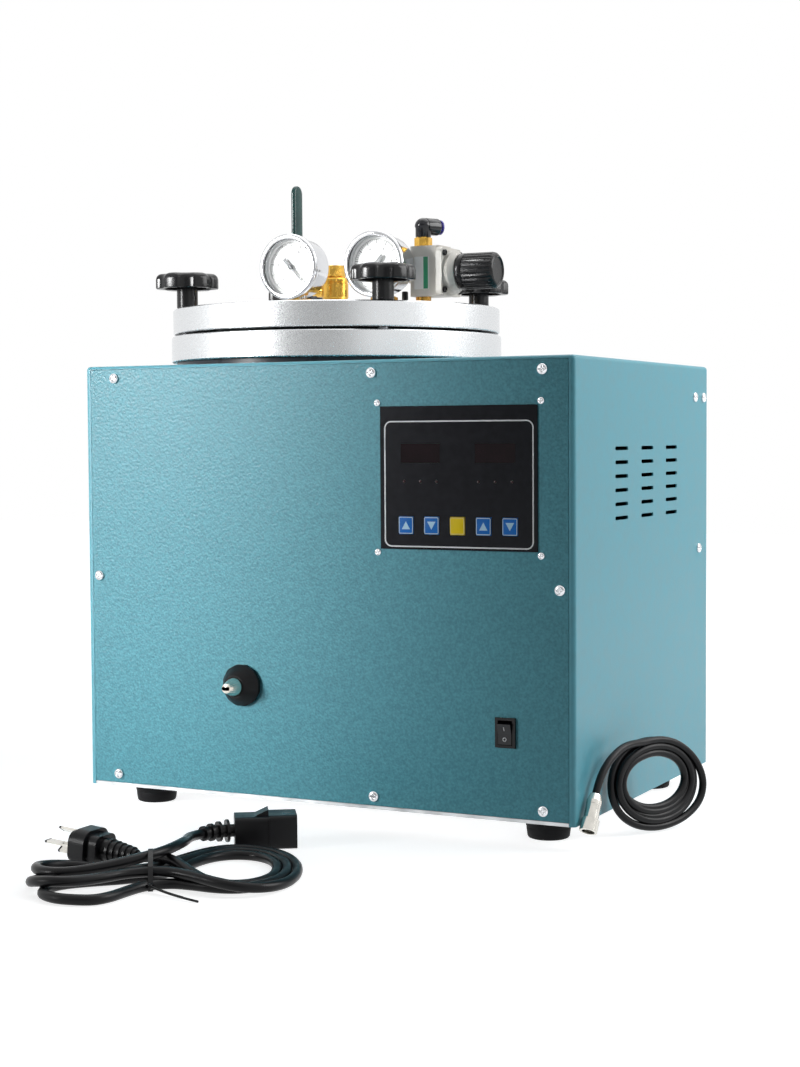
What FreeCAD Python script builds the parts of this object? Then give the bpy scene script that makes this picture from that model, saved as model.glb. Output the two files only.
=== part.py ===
import FreeCAD, Part
import math
import os

Vec = FreeCAD.Vector

# ---------------------------------------------------------------- driving sizes
# Millimetres, +Z up.  The origin lies on the resting surface, below the middle
# of the machine's overall box (cords aside).  -Y is the front, +X the right.

# how far a hole's tool runs past what it cuts
overrun = 1.0

# cabinet: painted sheet steel wrap, base tray, front and rear panels
cabinet_width = 412.0
cabinet_depth = 300.0
cabinet_height = 330.0
sheet = 1.2
corner_radius = 3.0
panel_thickness = 1.5
side_lip = 4.5
end_lip = 2.5
flange_width = 18.0
panel_gap = 0.3
tray_thickness = 1.5
tray_upstand = 14.0

# rubber feet
foot_height = 17.0
foot_top_radius = 17.5
foot_bottom_radius = 15.5
foot_from_side = 36.0
foot_from_front = 39.0
foot_counterbore = 5.5
foot_counterbore_depth = 9.0
foot_edge = 1.5
foot_screw_past_tray = 2.0

# screws: M4 pan heads for panels and feet, M3 for the controller board
pan_head_radius = 4.0
pan_head_height = 2.4
pan_shank_radius = 2.0
pan_shank_length = 9.0
small_head_radius = 2.6
small_head_height = 1.7
small_shank_radius = 1.5
screw_clearance = 0.2
panel_screw_from_left = 27.0
panel_screw_from_right = 24.0
panel_screw_mid_from_right = 158.5
panel_screw_end_inset = 9.7
panel_screw_side_inset = 11.0
panel_screw_mid_height = 166.0
side_screws = ((34.7, 304.5), (12.5, 304.5), (24.5, 181.0))

# side louvres: three columns of plain slots
vent_length = 27.0
vent_height = 2.8
vent_columns = 3
vent_rows = 6
vent_column_pitch = 56.5
vent_row_pitch = 10.25
vent_first_from_front = 94.0
vent_first_from_top = 65.7

# wax pot, lid and clamp knobs, all on one upright axis
pot_from_left = 141.5
pot_from_front = 154.0
pot_inner_radius = 100.0
pot_wall = 6.0
pot_floor = 8.0
pot_floor_height = 100.0
pot_hole_gap = 2.0
pot_foot_edge = 4.0
flange_overhang = 29.3
flange_thickness = 20.8
trim_ring_width = 24.8
trim_ring_height = 4.7
trim_ring_bore_gap = 0.2
lid_inset = 1.3
lid_thickness = 20.0
gasket_gap = 2.0
gasket_from_bore = 2.0
gasket_width = 15.0
edge_break = 0.8
knob_from_rim = 9.0
knob_count = 4
knob_radius = 25.0
knob_height = 12.2
knob_crown = 5.0
knob_lobes = 6
knob_scallop_radius = 9.0
knob_scallop_circle = 30.5
knob_web_recess = 5.0
knob_recess_radius = 19.0
hub_radius = 8.4
hub_height = 15.3
stud_radius = 5.0
stud_engagement = 14.0
stud_lid_clearance = 0.4
thread_clearance = 0.08

# heater band round the pot
band_thickness = 3.4
band_height = 96.0
band_rise = 18.0
band_split = 8.0
band_ear = 14.0

# wax nozzle and its feed block under the pot
nozzle_height = 86.0
collar_flat = 0.4
collar_edge = 1.0
collar_radius = 16.0
collar_disc = 3.0
collar_cone = 9.4
collar_nose_radius = 8.6
collar_side_count = 12
tip_base_radius = 7.1
tip_end_radius = 3.7
tip_length = 12.0
tip_shank_radius = 5.0
tip_bore_radius = 1.35
tip_bore_spacing = 3.5
tip_shank_depth = 12.0
tip_shoulder = 0.8
tip_edge = 0.4
feed_tube_radius = 11.0
feed_block_half_width = 22.0
feed_block_length = 44.0
feed_block_height = 34.0
feed_block_from_axis = 58.0
feed_bore_radius = 5.0
cartridge_rise = 7.9
cartridge_radius = 4.9
cartridge_length = 52.0
cartridge_inset = 4.0
fit_gap = 0.1

# gauges: 50 mm class, radial stem, chromed case
gauge_radius = 26.5
gauge_case_radius = 23.6
gauge_depth = 29.0
gauge_bezel_depth = 6.0
gauge_window_radius = 22.4
gauge_centre_rise = 33.5
gauge_stem_back = 20.5
gauge_stem_radius = 5.5
dial_back = 8.0
dial_thickness = 0.8
glass_thickness = 1.5
glass_inset = 1.2
needle_length = 16.5
needle_tail = 9.0
needle_thickness = 0.5
needle_hub_radius = 2.2
needle_pin_radius = 0.8
needle_plane = 6.0
bearing_depth = 6.0
movement_post_radius = 4.0
spigot_radius = 4.5
spigot_length = 9.0
vacuum_gauge_place = (-18.6, -49.0)
pressure_gauge_place = (53.6, -39.0)
vacuum_needle_angle = -48.0
pressure_needle_angle = 228.0
bush_flats = 19.0
bush_height = 8.5
bush_thread_radius = 6.5
bush_thread_length = 12.0

# vent valve: quarter-inch lever ball valve, upright on the lid
valve_place = (-7.3, 11.0)
valve_height = 38.0
valve_flats = 16.0
valve_end_height = 9.5
valve_belly_radius = 11.0
valve_bore_radius = 4.0
valve_port_radius = 5.75
valve_port_depth = 10.0
valve_ball_radius = 7.4
valve_boss_radius = 6.5
valve_boss_reach = 21.0
valve_stem_radius = 3.0
shaft_clearance = 0.05
lever_offset = 36.0
lever_length = 87.0
lever_width = 14.0
lever_strip = 2.4
lever_sleeve = 3.6
lever_sleeve_start = 26.0
lever_nut_flats = 10.0

# relief valve: slim black post in the lid
relief_place = (57.5, 11.0)
relief_radius = 2.6
relief_height = 14.5

# pressure regulator, its port axis upright, its knob towards the right
regulator_place = (78.2, 3.0)
regulator_port_height = 40.0
regulator_foot_rise = 8.5
regulator_axis_drop = 1.0
regulator_left_reach = 7.0
regulator_right_reach = 20.0
regulator_half_depth = 12.5
regulator_edge = 4.0
bonnet_flange = 5.0
bonnet_half = 19.0
bonnet_length = 8.0
bonnet_radius = 17.5
bonnet_nose_radius = 14.0
cap_radius = 7.5
cap_length = 5.0
regulator_knob_radius = 14.5
regulator_knob_length = 32.0
regulator_rib_count = 24
regulator_rib_depth = 0.8
regulator_neck_radius = 9.0
regulator_neck_length = 11.0
knob_stand_off = 1.0
port_flats = 12.5
port_bush_height = 7.8
nipple_radius = 6.2
nipple_bore = 3.0
port_depth = 9.0
port_spigot_radius = 5.6

# push-in elbow for the air hose
elbow_radius = 6.2
elbow_rise = 15.5
elbow_barrel_radius = 6.9
elbow_barrel_length = 14.0
elbow_heading = 60.0
ring_radius = 5.2
ring_flange_radius = 6.0
ring_stand_off = 3.0
ring_flange = 1.6
hose_bore_radius = 3.1
swivel_radius = 4.0
swivel_bore_radius = 2.0
swivel_gap = 0.3
swivel_depth = 10.0
collet_depth = 6.0
ring_travel_room = 1.6

# controller: overlay, keys, display windows and board
overlay_from_right = 27.6
overlay_from_bottom = 192.4
overlay_width = 123.4
overlay_height = 103.4
overlay_thickness = 1.0
board_screw_margin = 2.6
board_depth = 12.0
board_thickness = 1.6
board_border = 5.5
standoff_radius = 3.0
key_width = 11.8
key_height = 12.6
key_pitch = 20.45
key_count = 5
key_rise = 17.4
key_proud = 0.6
key_gap = 0.3
key_travel = 0.4
key_rim = 1.0
key_rim_thickness = 0.7
key_stem_radius = 2.0
tact_height = 4.0
tact_size = 6.0
window_width = 31.0
window_height = 13.8
window_rise = 69.4
window_offset = 29.4
lamp_rise = 49.1
lamp_radius = 1.2
lamp_pitch = 13.0
lamps_per_group = 3

# rocker switch
switch_from_right = 52.5
switch_height = 63.6
bezel_width = 15.5
bezel_height = 21.5
bezel_thickness = 2.0
rocker_width = 10.4
rocker_half_height = 7.6
rocker_reach = 5.0
rocker_back = 2.0
rocker_tilt = 10.0
rocker_pin_radius = 1.0
rocker_gap = 0.4
rocker_pivot_depth = 1.0
switch_body_depth = 18.0
switch_wall = 1.2
switch_cavity_depth = 9.0

# rear fittings
inlet_from_right = 62.0
inlet_height = 60.0
inlet_flange_width = 50.0
inlet_flange_height = 24.0
inlet_flange_thickness = 3.0
inlet_socket_width = 24.4
inlet_socket_height = 17.0
inlet_socket_depth = 16.0
inlet_body_depth = 24.0
inlet_wall = 2.0
inlet_corner = 3.0
blade_width = 2.0
blade_height = 4.0
blade_spread = 7.0
blade_drop = 2.0
blade_recess = 3.0
blade_tail = 7.0
pedal_from_right = 62.0
pedal_height = 112.0
pedal_radius = 9.0
pedal_bore_radius = 6.9
pedal_reach = 8.0
pedal_inner_length = 14.0
pedal_nut = 3.0
pedal_pin = (0.8, 6.0, 3.9)
vacuum_from_left = 60.0
vacuum_height = 112.0
barb_radius = 4.0
barb_bead = 4.7
barb_reach = 24.4
barb_flats = 14.0
barb_hex = 6.0
barb_bore_radius = 2.5
barb_bead_length = 5.0
barb_thread_length = 12.0
barb_nut = 4.0

# inside: wax valve, vacuum valve and transformer
coil_width = 30.0
coil_height = 31.0
coil_depth = 28.0
coil_corner = 3.0
armature_radius = 6.5
armature_cap = 5.0
valve_block = (24.0, 30.0, 26.0)
bracket_sheet = 2.0
bracket_margin = (7.0, 8.0)
valve_port = (5.0, 8.0)
valve_way = (2.5, 14.0)
transformer_size = (84.0, 60.0, 70.0)
transformer_winding = 14.0
transformer_stack = 36.0
transformer_limb = 15.0
transformer_yoke = 11.0
transformer_corner = 6.0
transformer_from_right = 96.0
transformer_from_front = 150.0

# mains lead: a tied hank in front of the machine, with its plug and connector
hank_tie = (-22.0, -345.0)
hank_heading = 33.6
hank_height = 15.0
tie_radius = 12.0
tie_length = 26.0
tie_middle = (3.0, -16.0)
mains_cord_diameter = 7.0
right_loop_centre = (49.0, -4.0)
right_loop_outer = (46.0, 65.0)
right_loop_inner = (24.0, 41.0)
left_loop_centre = (-32.0, -26.0)
left_loop_outer = (40.0, 50.0)
left_loop_inner = (20.0, 28.0)
plug_face = (-89.0, -328.0)
plug_slope = 5.0
plug_nose = (26.0, 21.0, 7.0, 4.0)
plug_plate = (30.0, 25.0, 9.0, 10.0)
plug_shoulder = (24.0, 20.0, 6.0, 8.0)
plug_relief_radius = 8.0
plug_relief_length = 26.0
plug_blade_width = 6.35
plug_blade_thickness = 1.6
plug_blades = ((3.96, 6.86, -30.0, 18.0), (3.96, -6.86, 30.0, 18.0), (-7.0, 0.0, 0.0, 21.0))
relief_wall = 1.0
relief_rib_width = 2.0
relief_rib_proud = 0.8
relief_rib_count = 5
connector_face = (105.0, 88.0)
connector_width = 27.0
connector_height = 24.0
connector_corner = 3.0
connector_front_length = 20.0
connector_rear_length = 24.0
connector_rear_step = 1.0
connector_wedge = (10.0, 3.5, 14.0)
connector_relief_radius = 9.0
connector_bend_radius = 35.0
connector_bend = 40.0
slot_depth = 14.0
stub_length = 8.0

# signal lead: an oval coil that leans on the right wall, its plug hanging beside it
signal_cord_diameter = 5.6
coil_half_length = 38.0
coil_half_height = 26.5
coil_section_radius = 9.0
coil_turned = -27.0
coil_lean = 8.0
coil_centre_y = -57.0
wall_gap = 0.4
signal_plug_radius = 6.5
signal_plug_length = 28.0
signal_plug_tip = (-143.0, 13.5)
signal_plug_rise = 58.0
signal_lead_route = ((213.0, -118.0, 55.0), (217.5, -95.0, 65.5), (225.2, -71.5, 61.6))

# ---------------------------------------------------------------- derived places
nozzle_reach = collar_disc + collar_cone + tip_length
left = -(cabinet_width + pan_head_height) / 2.0
right = left + cabinet_width
front = nozzle_reach - (nozzle_reach + cabinet_depth + barb_reach) / 2.0
back = front + cabinet_depth
bottom = foot_height
top = bottom + cabinet_height
pot_x = left + pot_from_left
pot_y = front + pot_from_front
pot_outer = pot_inner_radius + pot_wall
flange_radius = pot_outer + flange_overhang
trim_ring_bore = pot_outer + trim_ring_bore_gap
trim_ring_radius = trim_ring_bore + trim_ring_width
lid_radius = flange_radius - lid_inset
knob_circle = lid_radius - knob_from_rim
gasket_inner_radius = pot_inner_radius + gasket_from_bore
gasket_outer_radius = gasket_inner_radius + gasket_width
pot_underside = bottom + pot_floor_height
flange_bottom = top + trim_ring_height
flange_top = flange_bottom + flange_thickness
lid_bottom = flange_top + gasket_gap
lid_top = lid_bottom + lid_thickness
overlay_left = right - overlay_from_right - overlay_width
overlay_bottom = bottom + overlay_from_bottom
overlay_middle = overlay_left + overlay_width / 2.0
return_depth = panel_thickness + sheet
panel_cut = panel_thickness + 2 * overrun
screw_hole_radius = pan_shank_radius + screw_clearance / 2.0
nozzle_z = bottom + nozzle_height
block_front = pot_y - feed_block_from_axis - feed_block_length
block_bottom = pot_underside - feed_block_height
feed_y = block_front + feed_block_length / 2.0
cartridge_z = block_bottom + cartridge_rise
overlay_face = front - overlay_thickness
board_face = front + board_depth
tact_face = board_face - tact_height
window_back = front + panel_thickness + fit_gap
switch_x = right - switch_from_right
switch_z = bottom + switch_height
switch_cavity_half = rocker_half_height + 3 * rocker_gap
inlet_x = right - inlet_from_right
inlet_z = bottom + inlet_height
pedal_x = right - pedal_from_right
pedal_z = bottom + pedal_height
vacuum_x = left + vacuum_from_left
vacuum_z = bottom + vacuum_height
barb_thread = barb_flats / 2.0 - 1.0
UP = Vec(0, 0, 1)
FORWARD = Vec(0, -1, 0)
REARWARD = Vec(0, 1, 0)
RIGHTWARD = Vec(1, 0, 0)
LEFTWARD = Vec(-1, 0, 0)
pivot = Vec(switch_x, front + rocker_pivot_depth, switch_z)

os.makedirs("parts", exist_ok=True)


# ---------------------------------------------------------------- shape helpers
def save(node, *solids):
    """Write one node: a single solid, or a group of separate ones."""
    shape = solids[0] if len(solids) == 1 else Part.makeCompound(list(solids))
    shape.exportStep("parts/" + node + ".step")


def block(x_low, x_high, y_low, y_high, z_low, z_high):
    return Part.makeBox(x_high - x_low, y_high - y_low, z_high - z_low, Vec(x_low, y_low, z_low))


def rod(radius, start, direction, length):
    return Part.makeCylinder(radius, length, start, direction)


def placed(shape, start, direction):
    """Move a shape drawn about the local +Z axis onto a start point and direction."""
    shape.Placement = FreeCAD.Placement(start, FreeCAD.Rotation(UP, direction))
    return shape


def turned(profile, start, direction):
    """Solid of revolution; the profile is a list of (radius, distance along the axis)."""
    points = [Vec(radius, 0, along) for radius, along in profile]
    face = Part.Face(Part.makePolygon(points + points[:1]))
    return placed(face.revolve(Vec(0, 0, 0), UP, 360), start, direction)


def prism(outline, start, direction, length):
    points = [Vec(x, y, 0) for x, y in outline]
    face = Part.Face(Part.makePolygon(points + points[:1]))
    return placed(face.extrude(Vec(0, 0, length)), start, direction)


def polygon_bar(sides, flats, start, direction, length):
    """Regular bar, measured across its flats."""
    reach = flats / 2.0 / math.cos(math.pi / sides)
    turns = [2 * math.pi * (k + 0.5) / sides for k in range(sides)]
    outline = [(reach * math.cos(t), reach * math.sin(t)) for t in turns]
    return prism(outline, start, direction, length)


def rounded_bar(width, height, radius, start, direction, length):
    """Bar of rounded rectangular section, centred on its axis."""
    bar = Part.makeBox(width, height, length, Vec(-width / 2.0, -height / 2.0, 0))
    corners = [edge for edge in bar.Edges if abs(edge.tangentAt(edge.FirstParameter).z) > 0.9]
    return placed(bar.makeFillet(radius, corners), start, direction)


def rim_rounded(shape, height, radius):
    """Round the circular edges of a shape that lie at one height."""
    rims = [edge for edge in shape.Edges if edge.Closed and abs(edge.CenterOfMass.z - height) < 0.01]
    return shape.makeFillet(radius, rims)


def merged(*solids):
    return solids[0].multiFuse(list(solids[1:])).removeSplitter()


def without(shape, *tools):
    return shape.cut(Part.makeCompound(list(tools)))


def on_lid(place, rise=0.0):
    return Vec(pot_x + place[0], pot_y + place[1], lid_top + rise)


# ---------------------------------------------------------------- cabinet
def panel_screw_points():
    """Eight screw places round a panel: three along each end, one at each side."""
    ends = (bottom + panel_screw_end_inset, top - panel_screw_end_inset)
    columns = (left + panel_screw_from_left, right - panel_screw_mid_from_right,
               right - panel_screw_from_right)
    points = [(x, z) for z in ends for x in columns]
    middle = bottom + panel_screw_mid_height
    return points + [(left + panel_screw_side_inset, middle), (right - panel_screw_side_inset, middle)]


def side_screw_points():
    return [(back - from_back, bottom + rise) for from_back, rise in side_screws]


def foot_points():
    columns = (left + foot_from_side, right - foot_from_side)
    rows = (front + foot_from_front, back - foot_from_front)
    return [(x, y) for x in columns for y in rows]


def vent_slots():
    """Round-ended slots through the right wall."""
    half = (vent_length - vent_height) / 2.0
    slots = []
    for column in range(vent_columns):
        y = front + vent_first_from_front + column * vent_column_pitch
        for row in range(vent_rows):
            z = top - vent_first_from_top - row * vent_row_pitch
            start = right - 2 * sheet
            web = block(start, right + sheet, y - half, y + half, z - vent_height / 2.0,
                        z + vent_height / 2.0)
            ends = [rod(vent_height / 2.0, Vec(start, y + side, z), RIGHTWARD, 3 * sheet)
                    for side in (-half, half)]
            slots.append(merged(web, *ends))
    return slots


def shank_holes(y, length):
    return [rod(screw_hole_radius, Vec(x, y, z), REARWARD, length) for x, z in panel_screw_points()]


def cabinet_wrap():
    """Left wall, top and right wall in one bent sheet, with returns that carry both panels."""
    body = block(left, right, front, back, bottom, top)
    bends = [edge for edge in body.Edges if edge.CenterOfMass.z > bottom + sheet]
    body = body.makeFillet(corner_radius, bends)
    through = (front - overrun, back + overrun)
    hollow = block(left + sheet, right - sheet, front + return_depth, back - return_depth,
                   bottom - overrun, top - sheet)
    window = block(left + flange_width, right - flange_width, *through, bottom - overrun, top - flange_width)
    sides = (left + side_lip, right - side_lip)
    front_pocket = block(*sides, front - overrun, front + panel_thickness, bottom - overrun, top - end_lip)
    rear_pocket = block(*sides, back - panel_thickness, back + overrun, bottom - overrun, top - end_lip)
    pot_hole = rod(pot_outer + pot_hole_gap, Vec(pot_x, pot_y, top - 2 * sheet), UP, 3 * sheet)
    screw_holes = shank_holes(front, return_depth + overrun) + shank_holes(back - return_depth - overrun,
                                                                           return_depth + overrun)
    side_holes = [rod(screw_hole_radius, Vec(right - 2 * sheet, y, z), RIGHTWARD, 3 * sheet)
                  for y, z in side_screw_points()]
    return without(body, hollow, window, front_pocket, rear_pocket, pot_hole, *screw_holes, *side_holes,
                   *vent_slots())


def base_plate():
    """Bottom tray: floor, upstands inside the walls, and a lip under each panel."""
    inner = (left + sheet, right - sheet)
    ends = (left + flange_width + panel_gap, right - flange_width - panel_gap)
    floor = block(*inner, front + return_depth, back - return_depth, bottom, bottom + tray_thickness)
    pieces = [floor]
    for x_low, x_high in ((inner[0], inner[0] + sheet), (inner[1] - sheet, inner[1])):
        pieces.append(block(x_low, x_high, front + return_depth, back - return_depth, bottom,
                            bottom + tray_upstand))
    for face, inward in ((front, 1), (back, -1)):
        seat = face + inward * panel_thickness
        behind = face + inward * return_depth
        pieces.append(block(*ends, min(seat, behind), max(seat, behind), bottom, bottom + flange_width))
        pieces.append(block(*ends, min(face, behind), max(face, behind), bottom, bottom + tray_thickness))
        lip = (left + side_lip + panel_gap, right - side_lip - panel_gap)
        pieces.append(block(*lip, min(face, seat), max(face, seat), bottom, bottom + end_lip))
    foot_holes = [rod(screw_hole_radius, Vec(x, y, bottom - overrun), UP, tray_thickness + 2 * overrun)
                  for x, y in foot_points()]
    screw_holes = shank_holes(front, return_depth + overrun) + shank_holes(back - return_depth - overrun,
                                                                           return_depth + overrun)
    return without(merged(*pieces), *foot_holes, *screw_holes)


def panel_blank(y):
    width = cabinet_width - 2 * (side_lip + panel_gap)
    height = cabinet_height - 2 * (end_lip + panel_gap)
    centre = Vec((left + right) / 2.0, y, (bottom + top) / 2.0)
    return rounded_bar(width, height, panel_gap + sheet, centre, FORWARD, panel_thickness)


def front_panel():
    y = front + panel_thickness
    nozzle_hole = rod(feed_tube_radius + panel_gap, Vec(pot_x, front - overrun, nozzle_z), REARWARD,
                      panel_cut)
    switch_hole = switch_box(panel_gap, front - overrun, front + panel_thickness + overrun)
    windows = [box_on_face(x, z, window_width + 1.0, window_height + 1.0) for x, z in window_points()]
    lamp_width = lamps_per_group * lamp_pitch
    lamps = [box_on_face(x, overlay_bottom + lamp_rise, lamp_width, 5.0) for x, z in window_points()]
    key_row = (key_count - 1) * key_pitch + key_width + 2 * key_rim + 2.0
    keys = box_on_face(overlay_middle, overlay_bottom + key_rise, key_row, key_height + 2 * key_rim + 2.0)
    corners = [rod(small_shank_radius + fit_gap, Vec(x, front - overrun, z), REARWARD, panel_cut)
               for x, z in board_screw_points()]
    holes = shank_holes(front - overrun, panel_cut)
    return without(panel_blank(y), nozzle_hole, switch_hole, keys, *windows, *lamps, *corners, *holes)


def rear_panel():
    inlet = rounded_bar(inlet_socket_width + 2 * inlet_wall + panel_gap,
                        inlet_socket_height + 2 * inlet_wall + panel_gap,
                        inlet_wall, Vec(inlet_x, back - panel_thickness - overrun, inlet_z), REARWARD,
                        panel_cut)
    sockets = [rod(radius, Vec(x, back - panel_thickness - overrun, z), REARWARD, panel_cut)
               for radius, x, z in ((pedal_radius - 1.0 + fit_gap, pedal_x, pedal_z),
                                    (barb_thread + fit_gap, vacuum_x, vacuum_z))]
    return without(panel_blank(back), inlet, *sockets,
                   *shank_holes(back - panel_thickness - overrun, panel_cut))


def box_on_face(x, z, width, height):
    return block(x - width / 2.0, x + width / 2.0, front - overrun, front + panel_thickness + overrun,
                 z - height / 2.0, z + height / 2.0)


def window_points():
    return [(overlay_middle + side * window_offset, overlay_bottom + window_rise) for side in (-1, 1)]


def lamp_points():
    steps = [(k - (lamps_per_group - 1) / 2.0) * lamp_pitch for k in range(lamps_per_group)]
    return [(x + step, overlay_bottom + lamp_rise) for x, z in window_points() for step in steps]


def key_points():
    return [(overlay_middle + (k - (key_count - 1) / 2.0) * key_pitch, overlay_bottom + key_rise)
            for k in range(key_count)]


def board_screw_points():
    columns = (overlay_left - board_screw_margin, overlay_left + overlay_width + board_screw_margin)
    rows = (overlay_bottom - board_screw_margin, overlay_bottom + overlay_height + board_screw_margin)
    return [(x, z) for x in columns for z in rows]


def screw(head_radius, head_height, shank_radius, shank_length, seat, direction):
    """Pan head outside the seat, shank behind it; direction is the way the head faces."""
    profile = [(0, -shank_length), (shank_radius, -shank_length), (shank_radius, 0), (head_radius, 0),
               (head_radius, head_height * 0.4), (head_radius * 0.85, head_height * 0.8),
               (head_radius * 0.55, head_height),
               (0, head_height)]
    return turned(profile, seat, direction)


def pan_screw(seat, direction):
    return screw(pan_head_radius, pan_head_height, pan_shank_radius, pan_shank_length, seat, direction)


def switch_box(growth, y_low, y_high):
    half_width = rocker_width / 2.0 + rocker_gap + switch_wall + growth
    half_height = switch_cavity_half + switch_wall + growth
    return block(switch_x - half_width, switch_x + half_width, y_low, y_high, switch_z - half_height,
                 switch_z + half_height)


save("cabinet_wrap", cabinet_wrap())
save("base_plate", base_plate())
save("front_panel", front_panel())
save("rear_panel", rear_panel())
save("panel_screws",
     *[pan_screw(Vec(x, front, z), FORWARD) for x, z in panel_screw_points()],
     *[pan_screw(Vec(x, back, z), REARWARD) for x, z in panel_screw_points()],
     *[pan_screw(Vec(right, y, z), RIGHTWARD) for y, z in side_screw_points()])


# ---------------------------------------------------------------- feet
def foot(x, y):
    """Moulded rubber foot, drawn in a little towards the table, screwed up through its middle."""
    hole = pan_shank_radius + fit_gap
    profile = [(foot_counterbore, 0), (foot_bottom_radius - foot_edge, 0), (foot_bottom_radius, foot_edge),
               (foot_top_radius, foot_height), (hole, foot_height), (hole, foot_counterbore_depth),
               (foot_counterbore, foot_counterbore_depth)]
    return turned(profile, Vec(x, y, 0), UP)


def foot_screw(x, y):
    seat = Vec(x, y, foot_counterbore_depth)
    length = foot_height + tray_thickness + foot_screw_past_tray - foot_counterbore_depth
    return screw(pan_head_radius, pan_head_height, pan_shank_radius, length, seat, Vec(0, 0, -1))


save("feet", *[foot(x, y) for x, y in foot_points()])
save("foot_screws", *[foot_screw(x, y) for x, y in foot_points()])


# ---------------------------------------------------------------- wax pot and lid
def knob_points():
    turns = [2 * math.pi * (k + 0.5) / knob_count for k in range(knob_count)]
    return [(pot_x + knob_circle * math.cos(t), pot_y + knob_circle * math.sin(t)) for t in turns]


def ring(inner, outer, z, height):
    profile = [(inner, 0), (outer, 0), (outer, height), (inner, height)]
    return turned(profile, Vec(pot_x, pot_y, z), UP)


def wax_pot():
    """Cast aluminium vessel with a heavy flange, tapped for the lid studs."""
    shoulder = flange_bottom - pot_underside
    rim = flange_top - pot_underside
    profile = [(0, 0), (pot_outer - pot_foot_edge, 0), (pot_outer, pot_foot_edge), (pot_outer, shoulder),
               (flange_radius - edge_break, shoulder), (flange_radius, shoulder + edge_break),
               (flange_radius, rim - edge_break), (flange_radius - edge_break, rim),
               (pot_inner_radius, rim), (pot_inner_radius, 2 * pot_floor),
               (pot_inner_radius - pot_floor, pot_floor),
               (0, pot_floor)]
    body = turned(profile, Vec(pot_x, pot_y, pot_underside), UP)
    depth = stud_engagement + 2.0
    holes = [rod(stud_radius + thread_clearance, Vec(x, y, flange_top - depth), UP, depth + overrun)
             for x, y in knob_points()]
    outlet = rod(feed_bore_radius, Vec(pot_x, feed_y, pot_underside - overrun), UP, pot_floor + 2 * overrun)
    return without(body, outlet, *holes)


def lid():
    profile = [(0, 0), (lid_radius - edge_break, 0), (lid_radius, edge_break),
               (lid_radius, lid_thickness - edge_break),
               (lid_radius - edge_break, lid_thickness), (0, lid_thickness)]
    body = turned(profile, Vec(pot_x, pot_y, lid_bottom), UP)
    base = lid_bottom - overrun
    depth = lid_thickness + 2 * overrun
    holes = [rod(stud_radius + stud_lid_clearance, Vec(x, y, base), UP, depth) for x, y in knob_points()]
    ports = [(bush_thread_radius, stem_place(vacuum_gauge_place)),
             (bush_thread_radius, stem_place(pressure_gauge_place)),
             (bush_thread_radius, valve_place), (nipple_radius, regulator_place),
             (relief_radius, relief_place)]
    for radius, place in ports:
        holes.append(rod(radius + fit_gap, on_lid(place, -depth), UP, depth + overrun))
    return without(body, *holes)


def clamp_knob(x, y):
    """Moulded star grip on a long hub, with a steel stud that screws into the flange."""
    seat = lid_top + fit_gap
    under = seat + hub_height
    stud = rod(stud_radius, Vec(x, y, flange_top - stud_engagement), UP, seat + stud_engagement - flange_top)
    hub = rod(hub_radius, Vec(x, y, seat), UP, hub_height + knob_web_recess)
    head = rim_rounded(rod(knob_radius, Vec(x, y, under), UP, knob_height), under + knob_height, knob_crown)
    turns = [2 * math.pi * k / knob_lobes for k in range(knob_lobes)]
    reach = knob_scallop_circle
    scallops = [rod(knob_scallop_radius,
                    Vec(x + reach * math.cos(t), y + reach * math.sin(t), under - overrun), UP,
                    knob_height + 2 * overrun)
                for t in turns]
    recess = rod(knob_recess_radius, Vec(x, y, under - overrun), UP, knob_web_recess + overrun)
    return merged(without(head, recess, *scallops), hub, stud)


def stem_place(gauge_place):
    return (gauge_place[0], gauge_place[1] + gauge_stem_back)


save("pot_trim_ring", ring(trim_ring_bore, trim_ring_radius, top, trim_ring_height))
save("wax_pot", wax_pot())
save("pot_gasket", ring(gasket_inner_radius, gasket_outer_radius, flange_top, gasket_gap))
save("lid", lid())
for number, (x, y) in enumerate(knob_points()):
    save("clamp_knob_" + ("rear_right", "rear_left", "front_left", "front_right")[number], clamp_knob(x, y))

band_base = pot_underside + band_rise
band_outer = pot_outer + fit_gap + band_thickness
split = block(pot_x - band_split / 2.0, pot_x + band_split / 2.0, pot_y, pot_y + 2 * pot_outer,
              band_base - overrun, band_base + band_height + overrun)
ears = [block(pot_x + low, pot_x + high, pot_y + pot_outer + 1.0, pot_y + band_outer + band_ear,
              band_base, band_base + band_height)
        for low, high in ((-band_split / 2.0 - sheet, -band_split / 2.0),
                          (band_split / 2.0, band_split / 2.0 + sheet))]
save("heater_band", merged(without(ring(pot_outer + fit_gap, band_outer, band_base, band_height), split),
                           *ears))


# ---------------------------------------------------------------- nozzle
def nozzle_collar():
    """Insulating grip ring: a flatted rim, then a cone down to the metal tip."""
    bore = tip_shank_radius + fit_gap
    reach = collar_disc + collar_cone
    profile = [(bore, 0), (collar_radius, 0), (collar_radius, collar_disc),
               (collar_radius - collar_edge, collar_disc + collar_edge),
               (collar_nose_radius, reach), (bore, reach)]
    start = Vec(pot_x, front, nozzle_z)
    flats = polygon_bar(collar_side_count, 2 * (collar_radius - collar_flat), start, FORWARD, reach)
    return turned(profile, start, FORWARD).common(flats)


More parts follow.
